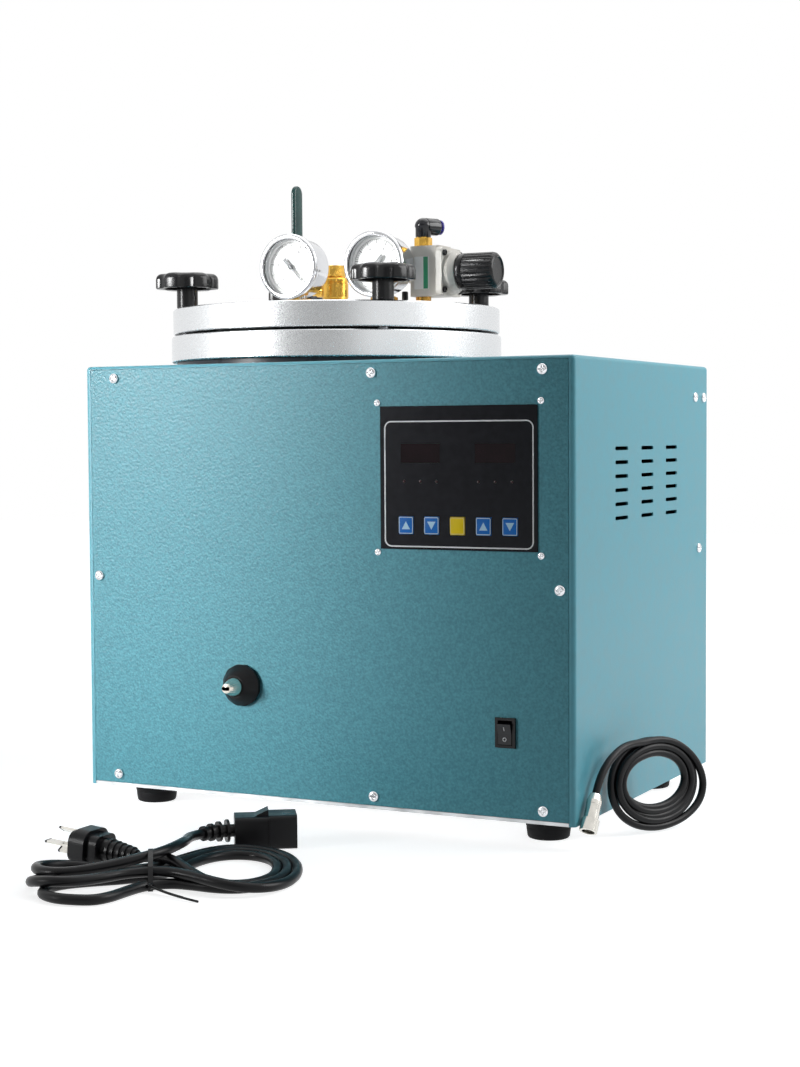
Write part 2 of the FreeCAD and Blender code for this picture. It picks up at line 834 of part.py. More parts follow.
def nozzle_tip():
    base = collar_disc + collar_cone
    reach = base + tip_length
    profile = [(0, -tip_shank_depth), (tip_shank_radius, -tip_shank_depth), (tip_shank_radius, base),
               (tip_base_radius, base),
               (tip_base_radius, base + tip_shoulder), (tip_end_radius, reach - tip_edge),
               (tip_end_radius - tip_edge, reach), (0, reach)]
    body = turned(profile, Vec(pot_x, front, nozzle_z), FORWARD)
    bores = [rod(tip_bore_radius, Vec(pot_x + side * tip_bore_spacing / 2.0, front - reach - overrun,
                                      nozzle_z), REARWARD, reach)
             for side in (-1, 1)]
    return without(body, *bores)


def nozzle_body():
    """Brass feed block under the pot, with the tube that carries the nozzle."""
    base = block(pot_x - feed_block_half_width, pot_x + feed_block_half_width, block_front,
                 block_front + feed_block_length,
                 block_bottom, pot_underside)
    tube = rod(feed_tube_radius, Vec(pot_x, front, nozzle_z), REARWARD, block_front - front + 1.0)
    seat = rod(tip_shank_radius + fit_gap, Vec(pot_x, front - 1.0, nozzle_z), REARWARD, tip_shank_depth + 3.0)
    channel = rod(feed_bore_radius, Vec(pot_x, front, nozzle_z), REARWARD, feed_y - front)
    riser = rod(feed_bore_radius, Vec(pot_x, feed_y, nozzle_z), UP, pot_underside - nozzle_z + overrun)
    heater = rod(cartridge_radius + fit_gap,
                 Vec(pot_x - feed_block_half_width + cartridge_inset, feed_y, cartridge_z), RIGHTWARD,
                 2 * feed_block_half_width)
    return without(merged(base, tube), seat, channel, riser, heater)


save("nozzle_collar", nozzle_collar())
save("nozzle_tip", nozzle_tip())
save("nozzle_body", nozzle_body())
save("nozzle_heater", rod(cartridge_radius,
                          Vec(pot_x - feed_block_half_width + cartridge_inset, feed_y, cartridge_z),
                          RIGHTWARD, cartridge_length))


def solenoid(face, centre_y, centre_z, direction):
    """Coil housing with its armature tube, standing on a face along X."""
    base = Vec(face, centre_y, centre_z)
    coil = rounded_bar(coil_height, coil_width, coil_corner, base, direction, coil_depth)
    armature = rod(armature_radius, base + direction * coil_depth, direction, armature_cap)
    return merged(coil, armature)


save("wax_valve", solenoid(pot_x - feed_block_half_width, feed_y, block_bottom + feed_block_height / 2.0,
                           LEFTWARD))


# ---------------------------------------------------------------- gauges
def gauge_centre(place):
    """Middle of the dial face, in the plane of the bezel's front."""
    return on_lid(place, gauge_centre_rise)


def gauge_case(place):
    """Pressed case with a rolled bezel, a movement post behind the dial and a stem below."""
    seat = gauge_radius - 2.0
    glass_back = glass_inset + glass_thickness
    dial_rear = dial_back + dial_thickness
    floor = gauge_depth - 2.0
    post_face = dial_rear + 4.0
    profile = [(gauge_window_radius, 0), (gauge_radius - 1.6, 0), (gauge_radius, 1.6),
               (gauge_radius, gauge_bezel_depth),
               (gauge_case_radius, gauge_bezel_depth), (gauge_case_radius, gauge_depth - 3.0),
               (gauge_case_radius - 3.0, gauge_depth), (0, gauge_depth), (0, post_face),
               (movement_post_radius, post_face), (movement_post_radius, floor),
               (gauge_window_radius - 3.0, floor), (gauge_window_radius - 3.0, dial_rear),
               (gauge_window_radius, dial_rear),
               (gauge_window_radius, glass_back), (seat, glass_back), (seat, glass_inset),
               (gauge_window_radius, glass_inset)]
    centre = gauge_centre(place)
    case = turned(profile, centre, REARWARD)
    bearing = rod(needle_pin_radius + shaft_clearance, centre, REARWARD, post_face + bearing_depth)
    neck = on_lid(stem_place(place), bush_height)
    stem = rod(gauge_stem_radius, neck, UP, gauge_centre_rise - bush_height - gauge_case_radius + 1.5)
    spigot = rod(spigot_radius, neck - UP * spigot_length, UP, spigot_length)
    return merged(without(case, bearing), stem, spigot)


def gauge_dial(place):
    plate = rod(gauge_window_radius - fit_gap, gauge_centre(place) + REARWARD * dial_back, REARWARD,
                dial_thickness)
    return plate.cut(rod(needle_pin_radius + 0.3, gauge_centre(place), REARWARD, dial_back + 2.0))


def gauge_glass(place):
    return rod(gauge_radius - 2.0 - fit_gap, gauge_centre(place) + REARWARD * glass_inset, REARWARD,
               glass_thickness)


def gauge_needle(place, degrees):
    """Tapered pointer with a counterweight tail, a hub and the spindle it turns on."""
    outline = [(-needle_tail, -1.3), (-needle_tail, 1.3), (0, 0.9), (needle_length, 0.25),
               (needle_length, -0.25), (0, -0.9)]
    c = math.cos(math.radians(degrees))
    s = math.sin(math.radians(degrees))
    aimed = [(x * c - y * s, x * s + y * c) for x, y in outline]
    plane = gauge_centre(place) + REARWARD * needle_plane
    blade = prism(aimed, plane, FORWARD, needle_thickness)
    hub = rod(needle_hub_radius, plane - REARWARD * 1.2, REARWARD, 2.0)
    spindle = rod(needle_pin_radius, plane, REARWARD,
                  dial_back + dial_thickness + 4.0 + bearing_depth - needle_plane - 0.5)
    return merged(blade, hub, spindle)


def gauge_bush(place):
    seat = on_lid(stem_place(place))
    hexagon = polygon_bar(6, bush_flats, seat, UP, bush_height)
    thread = rod(bush_thread_radius, seat - UP * bush_thread_length, UP, bush_thread_length)
    way = rod(spigot_radius + fit_gap, seat - UP * (bush_thread_length + overrun), UP,
              bush_thread_length + bush_height + 2 * overrun)
    return merged(hexagon, thread).cut(way)


for name, place, degrees in (("vacuum", vacuum_gauge_place, vacuum_needle_angle),
                             ("pressure", pressure_gauge_place, pressure_needle_angle)):
    save(name + "_gauge_case", gauge_case(place))
    save(name + "_gauge_dial", gauge_dial(place))
    save(name + "_gauge_glass", gauge_glass(place))
    save(name + "_gauge_needle", gauge_needle(place, degrees))
save("gauge_bushes", gauge_bush(vacuum_gauge_place), gauge_bush(pressure_gauge_place))


# ---------------------------------------------------------------- vent and relief valves
valve_axis = on_lid(valve_place, valve_height / 2.0)


def vent_valve_body():
    """Two hexagonal ends, a round belly and a stem boss, with a tapped port above the ball."""
    foot_end = on_lid(valve_place)
    body = merged(polygon_bar(6, valve_flats, foot_end, UP, valve_end_height),
                  polygon_bar(6, valve_flats, foot_end + UP * (valve_height - valve_end_height), UP,
                              valve_end_height),
                  rod(valve_belly_radius, foot_end + UP * valve_end_height, UP,
                      valve_height - 2 * valve_end_height),
                  rod(valve_boss_radius, valve_axis, LEFTWARD, valve_boss_reach),
                  rod(bush_thread_radius, foot_end - UP * bush_thread_length, UP, bush_thread_length))
    bore = rod(valve_bore_radius, foot_end - UP * (bush_thread_length + overrun), UP,
               bush_thread_length + valve_height + 2 * overrun)
    port = rod(valve_port_radius, foot_end + UP * (valve_height - valve_port_depth), UP,
               valve_port_depth + overrun)
    chamber = Part.makeSphere(valve_ball_radius + shaft_clearance, valve_axis)
    stem_hole = rod(valve_stem_radius + shaft_clearance, valve_axis, LEFTWARD, valve_boss_reach + overrun)
    return without(body, bore, port, chamber, stem_hole)


def vent_lever():
    """Ball, stem, flat lever with its vinyl sleeve, and the nut that holds the lever."""
    hub = valve_axis + LEFTWARD * lever_offset
    way = rod(valve_bore_radius, valve_axis - UP * valve_ball_radius, UP, 2 * valve_ball_radius)
    ball = Part.makeSphere(valve_ball_radius, valve_axis).cut(way)
    stem = rod(valve_stem_radius, valve_axis + LEFTWARD * (valve_bore_radius + 0.5), LEFTWARD, lever_offset)
    strip = lever_blade(hub, lever_strip, lever_width - 2.0, -lever_width / 2.0, lever_length - 2.0)
    sleeve = lever_blade(hub, lever_sleeve, lever_width, lever_sleeve_start, lever_length)
    nut = polygon_bar(6, lever_nut_flats, hub, LEFTWARD, lever_strip / 2.0 + 4.0)
    return merged(ball, stem, strip, sleeve, nut)


def lever_blade(hub, thickness, width, low, high):
    """Upright strip, rounded at its upper end."""
    half = width / 2.0
    web = block(hub.x - thickness / 2.0, hub.x + thickness / 2.0, hub.y - half, hub.y + half,
                hub.z + low, hub.z + high - half)
    end = rod(half, Vec(hub.x - thickness / 2.0, hub.y, hub.z + high - half), RIGHTWARD, thickness)
    return merged(web, end)


def relief_valve():
    base = on_lid(relief_place)
    post = rim_rounded(rod(relief_radius, base, UP, relief_height), lid_top + relief_height, 0.8)
    return merged(post, rod(relief_radius, base - UP * bush_thread_length, UP, bush_thread_length))


save("vent_valve_body", vent_valve_body())
save("vent_lever", vent_lever())
save("relief_valve", relief_valve())


# ---------------------------------------------------------------- pressure regulator and air elbow
regulator_base = on_lid(regulator_place, regulator_foot_rise)
regulator_top = regulator_base + UP * regulator_port_height
regulator_axis = regulator_base + UP * (regulator_port_height / 2.0 - regulator_axis_drop)
knob_start = regulator_right_reach + bonnet_flange + bonnet_length + knob_stand_off


def regulator_body():
    """Moulded block with an upright air way, a bonnet towards the right and a blanking cap."""
    middle = (regulator_right_reach - regulator_left_reach) / 2.0
    body = rounded_bar(regulator_left_reach + regulator_right_reach, 2 * regulator_half_depth, regulator_edge,
                       regulator_base + RIGHTWARD * middle, UP, regulator_port_height)
    face = regulator_axis + RIGHTWARD * regulator_right_reach
    flange = rounded_bar(2 * bonnet_half, 2 * bonnet_half, regulator_edge, face, RIGHTWARD, bonnet_flange)
    dome = [(0, 0), (bonnet_radius, 0), (bonnet_radius, bonnet_length - 4.0),
            (bonnet_nose_radius, bonnet_length), (0, bonnet_length)]
    bonnet = turned(dome, face + RIGHTWARD * bonnet_flange, RIGHTWARD)
    neck = rod(regulator_neck_radius, face + RIGHTWARD * (bonnet_flange + bonnet_length), RIGHTWARD,
               regulator_neck_length)
    cap = rod(cap_radius, regulator_axis + LEFTWARD * regulator_left_reach, LEFTWARD, cap_length)
    way = rod(nipple_bore, regulator_base - UP * overrun, UP, regulator_port_height + 2 * overrun)
    ports = [rod(nipple_radius + fit_gap, regulator_base - UP * overrun, UP, port_depth + overrun),
             rod(port_spigot_radius + fit_gap, regulator_top - UP * port_depth, UP, port_depth + overrun)]
    return without(merged(body, flange, bonnet, neck, cap), way, *ports)


def regulator_knob():
    """Ribbed adjusting knob that turns on the bonnet's neck."""
    start = regulator_axis + RIGHTWARD * knob_start
    length = regulator_knob_length
    profile = [(0, 0), (regulator_knob_radius, 0), (regulator_knob_radius, length - 3.0),
               (regulator_knob_radius - 2.0, length), (0, length)]
    body = turned(profile, start, RIGHTWARD)
    grooves = []
    for k in range(regulator_rib_count):
        turn = 2 * math.pi * k / regulator_rib_count
        offset = Vec(0, math.cos(turn), math.sin(turn)) * (regulator_knob_radius + regulator_rib_depth * 0.5)
        grooves.append(rod(regulator_rib_depth * 1.4, start + offset + RIGHTWARD * 5.0, RIGHTWARD, length))
    socket = rod(regulator_neck_radius + shaft_clearance, start - RIGHTWARD * overrun, RIGHTWARD,
                 regulator_neck_length - knob_stand_off + 2 * overrun)
    return without(body, socket, *grooves)


def regulator_nipple():
    seat = on_lid(regulator_place, -bush_thread_length)
    length = bush_thread_length + regulator_foot_rise + port_depth - 1.0
    pipe = rod(nipple_radius, seat, UP, length)
    return pipe.cut(rod(nipple_bore, seat - UP * overrun, UP, length + 2 * overrun))


def regulator_bush():
    hexagon = polygon_bar(6, port_flats, regulator_top, UP, port_bush_height)
    spigot = rod(port_spigot_radius, regulator_top - UP * (port_depth - 1.0), UP, port_depth - 1.0)
    way = rod(swivel_radius + shaft_clearance, regulator_top - UP * port_depth, UP,
              port_depth + port_bush_height + overrun)
    return merged(hexagon, spigot).cut(way)


elbow_base = regulator_top + UP * (port_bush_height + swivel_gap)
heading = Vec(math.cos(math.radians(elbow_heading)), math.sin(math.radians(elbow_heading)), 0)
barrel_start = elbow_base + UP * (elbow_rise - elbow_barrel_radius)


def push_elbow():
    """Swivelling elbow: a spigot in the bush, an upright body and a barrel for the hose."""
    upright = rod(elbow_radius, elbow_base, UP, elbow_rise - elbow_barrel_radius)
    crown = Part.makeSphere(elbow_barrel_radius, barrel_start)
    barrel = rod(elbow_barrel_radius, barrel_start, heading, elbow_barrel_length)
    spigot = rod(swivel_radius, elbow_base - UP * swivel_depth, UP, swivel_depth)
    mouth = rod(ring_radius + shaft_clearance,
                barrel_start + heading * (elbow_barrel_length - collet_depth), heading,
                collet_depth + overrun)
    hose_way = rod(hose_bore_radius, barrel_start, heading, elbow_barrel_length)
    down_way = rod(swivel_bore_radius, elbow_base - UP * (swivel_depth + overrun), UP,
                   swivel_depth + overrun + elbow_rise - elbow_barrel_radius)
    return without(merged(upright, crown, barrel, spigot), mouth, hose_way, down_way)


def release_ring():
    start = barrel_start + heading * (elbow_barrel_length - collet_depth + ring_travel_room)
    sleeve = collet_depth - ring_travel_room + ring_stand_off
    profile = [(hose_bore_radius, 0), (ring_radius, 0), (ring_radius, sleeve - ring_flange),
               (ring_flange_radius, sleeve - ring_flange),
               (ring_flange_radius, sleeve), (hose_bore_radius, sleeve)]
    return turned(profile, start, heading)


save("regulator_body", regulator_body())
save("regulator_knob", regulator_knob())
save("regulator_fittings", regulator_nipple(), regulator_bush())
save("push_elbow", push_elbow())
save("release_ring", release_ring())


# ---------------------------------------------------------------- controller
def slab(x, z, width, height, y_low, y_high):
    """Upright plate facing forward, given by its middle and its two depths."""
    return block(x - width / 2.0, x + width / 2.0, y_low, y_high, z - height / 2.0, z + height / 2.0)


def controller_overlay():
    middle = (overlay_middle, overlay_bottom + overlay_height / 2.0)
    plate = slab(*middle, overlay_width, overlay_height, overlay_face, front)
    cuts = [slab(x, z, window_width + 2 * fit_gap, window_height + 2 * fit_gap, overlay_face - overrun,
                 front + overrun) for x, z in window_points()]
    cuts += [slab(x, z, key_width + 2 * key_gap, key_height + 2 * key_gap, overlay_face - overrun,
                  front + overrun) for x, z in key_points()]
    cuts += [rod(lamp_radius + fit_gap, Vec(x, overlay_face - overrun, z), REARWARD,
                 overlay_thickness + 2 * overrun) for x, z in lamp_points()]
    return without(plate, *cuts)


def key(x, z):
    """Moulded key: a proud cap, a rim that stops behind the overlay, and a plunger."""
    cap_face = overlay_face - key_proud
    rim_face = front + shaft_clearance
    cap = slab(x, z, key_width, key_height, cap_face, rim_face)
    rim = slab(x, z, key_width + 2 * key_rim, key_height + 2 * key_rim, rim_face,
               rim_face + key_rim_thickness)
    plunger = rod(key_stem_radius, Vec(x, rim_face, z), REARWARD, tact_face - key_travel - fit_gap - rim_face)
    return merged(cap, rim, plunger)


def control_board():
    """Circuit board on four spacers, with display blocks, lamps and five tactile switches."""
    margin = board_screw_margin + board_border
    middle = (overlay_middle, overlay_bottom + overlay_height / 2.0)
    pieces = [slab(*middle, overlay_width + 2 * margin, overlay_height + 2 * margin, board_face,
                   board_face + board_thickness)]
    pieces += [slab(x, z, window_width - 1.0, window_height + 3.0, window_back, board_face)
               for x, z in window_points()]
    pieces += [rod(lamp_radius, Vec(x, overlay_face + 0.2, z), REARWARD, board_face - overlay_face)
               for x, z in lamp_points()]
    pieces += [slab(x, z, tact_size, tact_size, tact_face, board_face) for x, z in key_points()]
    pieces += [rod(standoff_radius, Vec(x, front + panel_thickness, z), REARWARD,
                   board_depth - panel_thickness) for x, z in board_screw_points()]
    holes = [rod(small_shank_radius + thread_clearance, Vec(x, front, z), REARWARD, board_depth + 4.0)
             for x, z in board_screw_points()]
    return without(merged(*pieces), *holes)


save("controller_overlay", controller_overlay())
save("display_windows", *[slab(x, z, window_width, window_height, overlay_face + fit_gap, window_back)
                          for x, z in window_points()])
save("control_board", control_board())
for number, (x, z) in enumerate(key_points()):
    save("key_" + ("left_up", "left_down", "middle", "right_up", "right_down")[number], key(x, z))
save("controller_screws", *[screw(small_head_radius, small_head_height, small_shank_radius, 8.0,
                                  Vec(x, front, z), FORWARD)
                            for x, z in board_screw_points()])


# ---------------------------------------------------------------- rocker switch
def rocker_bezel():
    """Snap-in switch housing: a bezel outside and a hollow body behind the panel."""
    bezel = slab(switch_x, switch_z, bezel_width, bezel_height, front - bezel_thickness, front)
    housing = switch_box(0.0, front, front + switch_body_depth)
    hollow = slab(switch_x, switch_z, rocker_width + 2 * rocker_gap, 2 * switch_cavity_half,
                  front - bezel_thickness - overrun, front + switch_cavity_depth)
    length = rocker_width + 2 * (rocker_gap + switch_wall) + 2.0
    pin_holes = rod(rocker_pin_radius + shaft_clearance, pivot - RIGHTWARD * length / 2.0, RIGHTWARD, length)
    return without(merged(bezel, housing), hollow, pin_holes)


def rocker():
    """Shallow V-faced rocker, set with its lower half pressed in."""
    rise = rocker_half_height * math.tan(math.radians(rocker_tilt))
    outline = [(-rocker_back, -rocker_half_height), (rocker_reach, -rocker_half_height),
               (rocker_reach - rise, 0),
               (rocker_reach, rocker_half_height), (-rocker_back, rocker_half_height)]
    points = [Vec(0, -out, up) for out, up in outline]
    face = Part.Face(Part.makePolygon(points + points[:1]))
    body = face.extrude(Vec(rocker_width, 0, 0)).translated(Vec(-rocker_width / 2.0, 0, 0))
    pin = rocker_width + 2 * rocker_gap + 2.0
    whole = merged(body, rod(rocker_pin_radius, Vec(-pin / 2.0, 0, 0), RIGHTWARD, pin))
    whole.Placement = FreeCAD.Placement(pivot, FreeCAD.Rotation(RIGHTWARD, rocker_tilt))
    return whole


save("rocker_bezel", rocker_bezel())
save("rocker", rocker())


# ---------------------------------------------------------------- rear fittings
def mains_inlet():
    """Snap-in mains inlet: a moulded shell with a recessed socket."""
    face = back + inlet_flange_thickness
    width = inlet_socket_width + 2 * inlet_wall
    height = inlet_socket_height + 2 * inlet_wall
    flange_start = Vec(inlet_x, back, inlet_z)
    flange = rounded_bar(inlet_flange_width, inlet_flange_height, inlet_corner, flange_start, REARWARD,
                         inlet_flange_thickness)
    body_start = Vec(inlet_x, back - inlet_body_depth, inlet_z)
    body = rounded_bar(width, height, inlet_wall, body_start, REARWARD, inlet_body_depth)
    socket_start = Vec(inlet_x, face - inlet_socket_depth, inlet_z)
    socket = rounded_bar(inlet_socket_width, inlet_socket_height, inlet_wall / 2.0, socket_start,
                         REARWARD, inlet_socket_depth + overrun)
    slots = [slab(x, z, blade_width, blade_height, body_start.y - overrun, face) for x, z in blade_points()]
    return without(merged(flange, body), socket, *slots)


def blade_points():
    """Middles of the three contact blades: two low at the sides, one high between."""
    places = ((-blade_spread, -blade_drop), (0.0, blade_drop), (blade_spread, -blade_drop))
    return [(inlet_x + dx, inlet_z + dz) for dx, dz in places]


def contact_blades():
    low = back - inlet_body_depth - blade_tail
    high = back + inlet_flange_thickness - blade_recess
    return [slab(x, z, blade_width, blade_height, low, high) for x, z in blade_points()]


def pedal_socket():
    start = Vec(pedal_x, back, pedal_z)
    hexagon = polygon_bar(6, 2 * (pedal_radius + 1.0), start - REARWARD * (panel_thickness + pedal_nut),
                          REARWARD, pedal_nut)
    thread = pedal_radius - 1.0
    profile = [(0, -pedal_inner_length), (thread, -pedal_inner_length), (thread, 0), (pedal_radius, 0),
               (pedal_radius, pedal_reach),
               (pedal_bore_radius, pedal_reach), (pedal_bore_radius, 0), (0, 0)]
    radius, length, circle = pedal_pin
    pins = [rod(radius, start + Vec(dx * circle, -1.0, dz * circle), REARWARD, length)
            for dx, dz in ((-1, 0), (1, 0), (0, 1), (0, -1))]
    return merged(turned(profile, start, REARWARD), hexagon, *pins)


def vacuum_port():
    """Hose barb screwed through the rear panel, with a nut inside."""
    start = Vec(vacuum_x, back, vacuum_z)
    hexagon = polygon_bar(6, barb_flats, start, REARWARD, barb_hex)
    nut = polygon_bar(6, barb_flats + 2.0, start - REARWARD * (panel_thickness + barb_nut), REARWARD,
                      barb_nut)
    bead = barb_reach - barb_bead_length
    profile = [(0, -barb_thread_length), (barb_thread, -barb_thread_length), (barb_thread, 0.5),
               (barb_radius, 0.5),
               (barb_radius, bead), (barb_bead, bead), (barb_bead - 1.4, barb_reach), (0, barb_reach)]
    way = rod(barb_bore_radius, start - REARWARD * (barb_thread_length + 1.0), REARWARD,
              barb_thread_length + barb_reach + 2.0)
    return merged(turned(profile, start, REARWARD), hexagon, nut).cut(way)


save("mains_inlet", mains_inlet(), *contact_blades())
save("pedal_socket", pedal_socket())
save("vacuum_port", vacuum_port())


# ---------------------------------------------------------------- vacuum valve and transformer
def vacuum_valve():
    """Solenoid valve on a bracket that the three wall screws hold."""
    wall = right - sheet
    depths = [y for y, z in side_screw_points()]
    heights = [z for y, z in side_screw_points()]
    side, end = bracket_margin
    plate = block(wall - bracket_sheet, wall, min(depths) - side, max(depths) + side, min(heights) - end,
                  max(heights) + end)
    middle_y = sum(depths) / 3.0
    middle_z = (min(heights) + max(heights)) / 2.0
    width, height, depth = valve_block
    seat = wall - bracket_sheet
    base = block(seat - width, seat, middle_y - height / 2.0, middle_y + height / 2.0,
                 middle_z - depth / 2.0, middle_z + depth / 2.0)
    coil = solenoid(seat - width, middle_y, middle_z, LEFTWARD)
    port_radius, port_reach = valve_port
    way_radius, way_length = valve_way
    ends = depth / 2.0 + port_reach
    pipe = rod(port_radius, Vec(seat - width / 2.0, middle_y, middle_z - ends), UP, 2 * ends)
    ways = [rod(way_radius, Vec(seat - width / 2.0, middle_y, middle_z + way * (ends + overrun)),
                UP * -way, way_length)
            for way in (-1, 1)]
    holes = [rod(pan_shank_radius + thread_clearance, Vec(wall - 4.0, y, z), RIGHTWARD, 5.0)
             for y, z in side_screw_points()]
    return without(merged(plate, base, coil, pipe), *ways, *holes)


def transformer():
    """Laminated core standing on two feet, with a winding round its middle limb."""
    width, depth, height = transformer_size
    x = right - transformer_from_right
    y = front + transformer_from_front
    z = bottom + tray_thickness
    half = transformer_stack / 2.0
    core = block(x - width / 2.0, x + width / 2.0, y - half, y + half, z, z + height)
    start = Vec(x, y - half - transformer_winding, z + height / 2.0)
    winding = rounded_bar(width - 2 * transformer_limb, height - 2 * transformer_yoke,
                          transformer_corner, start, REARWARD,
                          transformer_stack + 2 * transformer_winding)
    feet = block(x - width / 2.0, x + width / 2.0, y - depth / 2.0, y + depth / 2.0, z, z + bracket_sheet)
    return merged(core, winding, feet)


save("vacuum_valve", vacuum_valve())
save("transformer", transformer())


# ---------------------------------------------------------------- cord helpers
def cord(radius, points, name):
    """Round cord: straight runs joined by tangent arcs."""
    edges = []
    start = points[0]
    for before, corner, after in zip(points, points[1:], points[2:]):
        inward = (before - corner).normalize()
        onward = (after - corner).normalize()
        half_turn = (math.pi - inward.getAngle(onward)) / 2.0
        shorter = min(before.distanceToPoint(corner), after.distanceToPoint(corner))
        arc_radius = 0.45 * shorter / math.tan(half_turn)
        reach = 0.45 * shorter
        bisector = (inward + onward).normalize()
        middle = corner + bisector * (arc_radius / math.cos(half_turn) - arc_radius)
        edges.append(Part.makeLine(start, corner + inward * reach))
        edges.append(Part.Arc(corner + inward * reach, middle, corner + onward * reach).toShape())
        start = corner + onward * reach
        print(name, "bend radius", round(arc_radius, 1))
    edges.append(Part.makeLine(start, points[-1]))
    path = Part.Wire(edges)
    direction = (points[1] - points[0]).normalize()
    section = Part.Wire(Part.Circle(points[0], direction, radius).toShape())
    return Part.Solid(path.makePipeShell([section], True, False))


# ---------------------------------------------------------------- mains lead
hank_turn = math.radians(hank_heading)
ACROSS = Vec(math.cos(hank_turn), math.sin(hank_turn), 0)
AWAY = Vec(-math.sin(hank_turn), math.cos(hank_turn), 0)
hank_centre = Vec(hank_tie[0], hank_tie[1], 0)
cord_radius = mains_cord_diameter / 2.0


def on_floor(place, z=0.0):
    return hank_centre + ACROSS * place[0] + AWAY * place[1] + UP * z


def oval(centre, half_sizes, z, height):
    """Elliptical cylinder laid out in the hank's own directions."""
    across, away = half_sizes
    major = max(half_sizes)
    minor = min(half_sizes)
    curve = Part.Ellipse(Vec(0, 0, 0), major, minor)
    shape = Part.Face(Part.Wire(curve.toShape())).extrude(Vec(0, 0, height))
    turn = hank_heading if across >= away else hank_heading + 90.0
    shape.Placement = FreeCAD.Placement(on_floor(centre, z), FreeCAD.Rotation(UP, turn))
    return shape


def mains_hank():
    """Outer shape of the tied hank, with the two ends that leave it."""
    loops = [oval(centre, outer, 0, hank_height).cut(oval(centre, inner, -overrun, hank_height + 2 * overrun))
             for centre, outer, inner in ((right_loop_centre, right_loop_outer, right_loop_inner),
                                          (left_loop_centre, left_loop_outer, left_loop_inner))]
    gathered = rod(tie_radius, on_floor(tie_middle, tie_radius) - ACROSS * (tie_length / 2.0), ACROSS,
                   tie_length)
    to_plug = stub(plug_relief_end, plug_way, on_floor((5.0, -8.0), plug_height / 2.0))
    to_connector = stub(connector_start, relief_way(connector_bend),
                        on_floor((14.0, 40.0), connector_height / 2.0))
    return merged(*loops, gathered, *to_plug, *to_connector)


def stub(start, direction, end):
    """Straight piece of cord off a relief, then a bend towards the loops."""
    corner = start + direction * stub_length
    onward = end - corner
    return [rod(cord_radius, start, direction, stub_length), Part.makeSphere(cord_radius, corner),
            rod(cord_radius, corner, onward.normalize(), (end - corner).Length)]


plug_height = plug_plate[1]
plug_tilt = math.radians(plug_slope)
plug_way = Vec(math.cos(plug_tilt), 0, -math.sin(plug_tilt))
plug_body_length = plug_nose[3] + plug_plate[3] + plug_shoulder[3]
plug_face_centre = Vec(*plug_face, plug_height / 2.0 + (plug_nose[3] + plug_plate[3]) * math.sin(plug_tilt))
plug_relief_end = plug_face_centre + plug_way * (plug_body_length + plug_relief_length)


def mains_plug():
    """Moulded plug with three flat blades: a stepped body, and a ribbed strain relief."""
    pieces = []
    along = 0.0
    for width, height, corner, length in (plug_nose, plug_plate, plug_shoulder):
        pieces.append(lying_bar(width, height, corner, RIGHTWARD * along, RIGHTWARD, length))
        along += length
    thin = cord_radius + relief_wall
    profile = [(0, 0), (plug_relief_radius, 0), (thin, plug_relief_length), (0, plug_relief_length)]
    pieces.append(turned(profile, RIGHTWARD * along, RIGHTWARD))
    for k in range(relief_rib_count):
        share = (k + 1.0) / (relief_rib_count + 1.0)
        radius = plug_relief_radius + (thin - plug_relief_radius) * share + relief_rib_proud
        pieces.append(rod(radius, RIGHTWARD * (along + share * plug_relief_length), RIGHTWARD,
                          relief_rib_width))
    for away, up, turn, length in plug_blades:
        blade = Part.makeBox(length + overrun, plug_blade_width, plug_blade_thickness,
                             Vec(-length, -plug_blade_width / 2.0, -plug_blade_thickness / 2.0))
        blade.Placement = FreeCAD.Placement(Vec(0, away, up), FreeCAD.Rotation(RIGHTWARD, turn))
        pieces.append(blade)
    plug = merged(*pieces)
    plug.Placement = FreeCAD.Placement(plug_face_centre, FreeCAD.Rotation(RIGHTWARD, plug_way))
    return plug


connector_face_centre = on_floor(connector_face, connector_height / 2.0)
connector_rear = connector_face_centre - ACROSS * (connector_front_length + connector_rear_length)
bend_centre = connector_rear - AWAY * connector_bend_radius


def relief_way(degrees):
    """Direction of the cord in the connector's bent relief, so many degrees into the bend."""
    turn = math.radians(degrees)
    return ACROSS * -math.cos(turn) - AWAY * math.sin(turn)


def relief_point(degrees):
    turn = math.radians(degrees)
    return bend_centre + (AWAY * math.cos(turn) - ACROSS * math.sin(turn)) * connector_bend_radius


connector_start = relief_point(connector_bend)


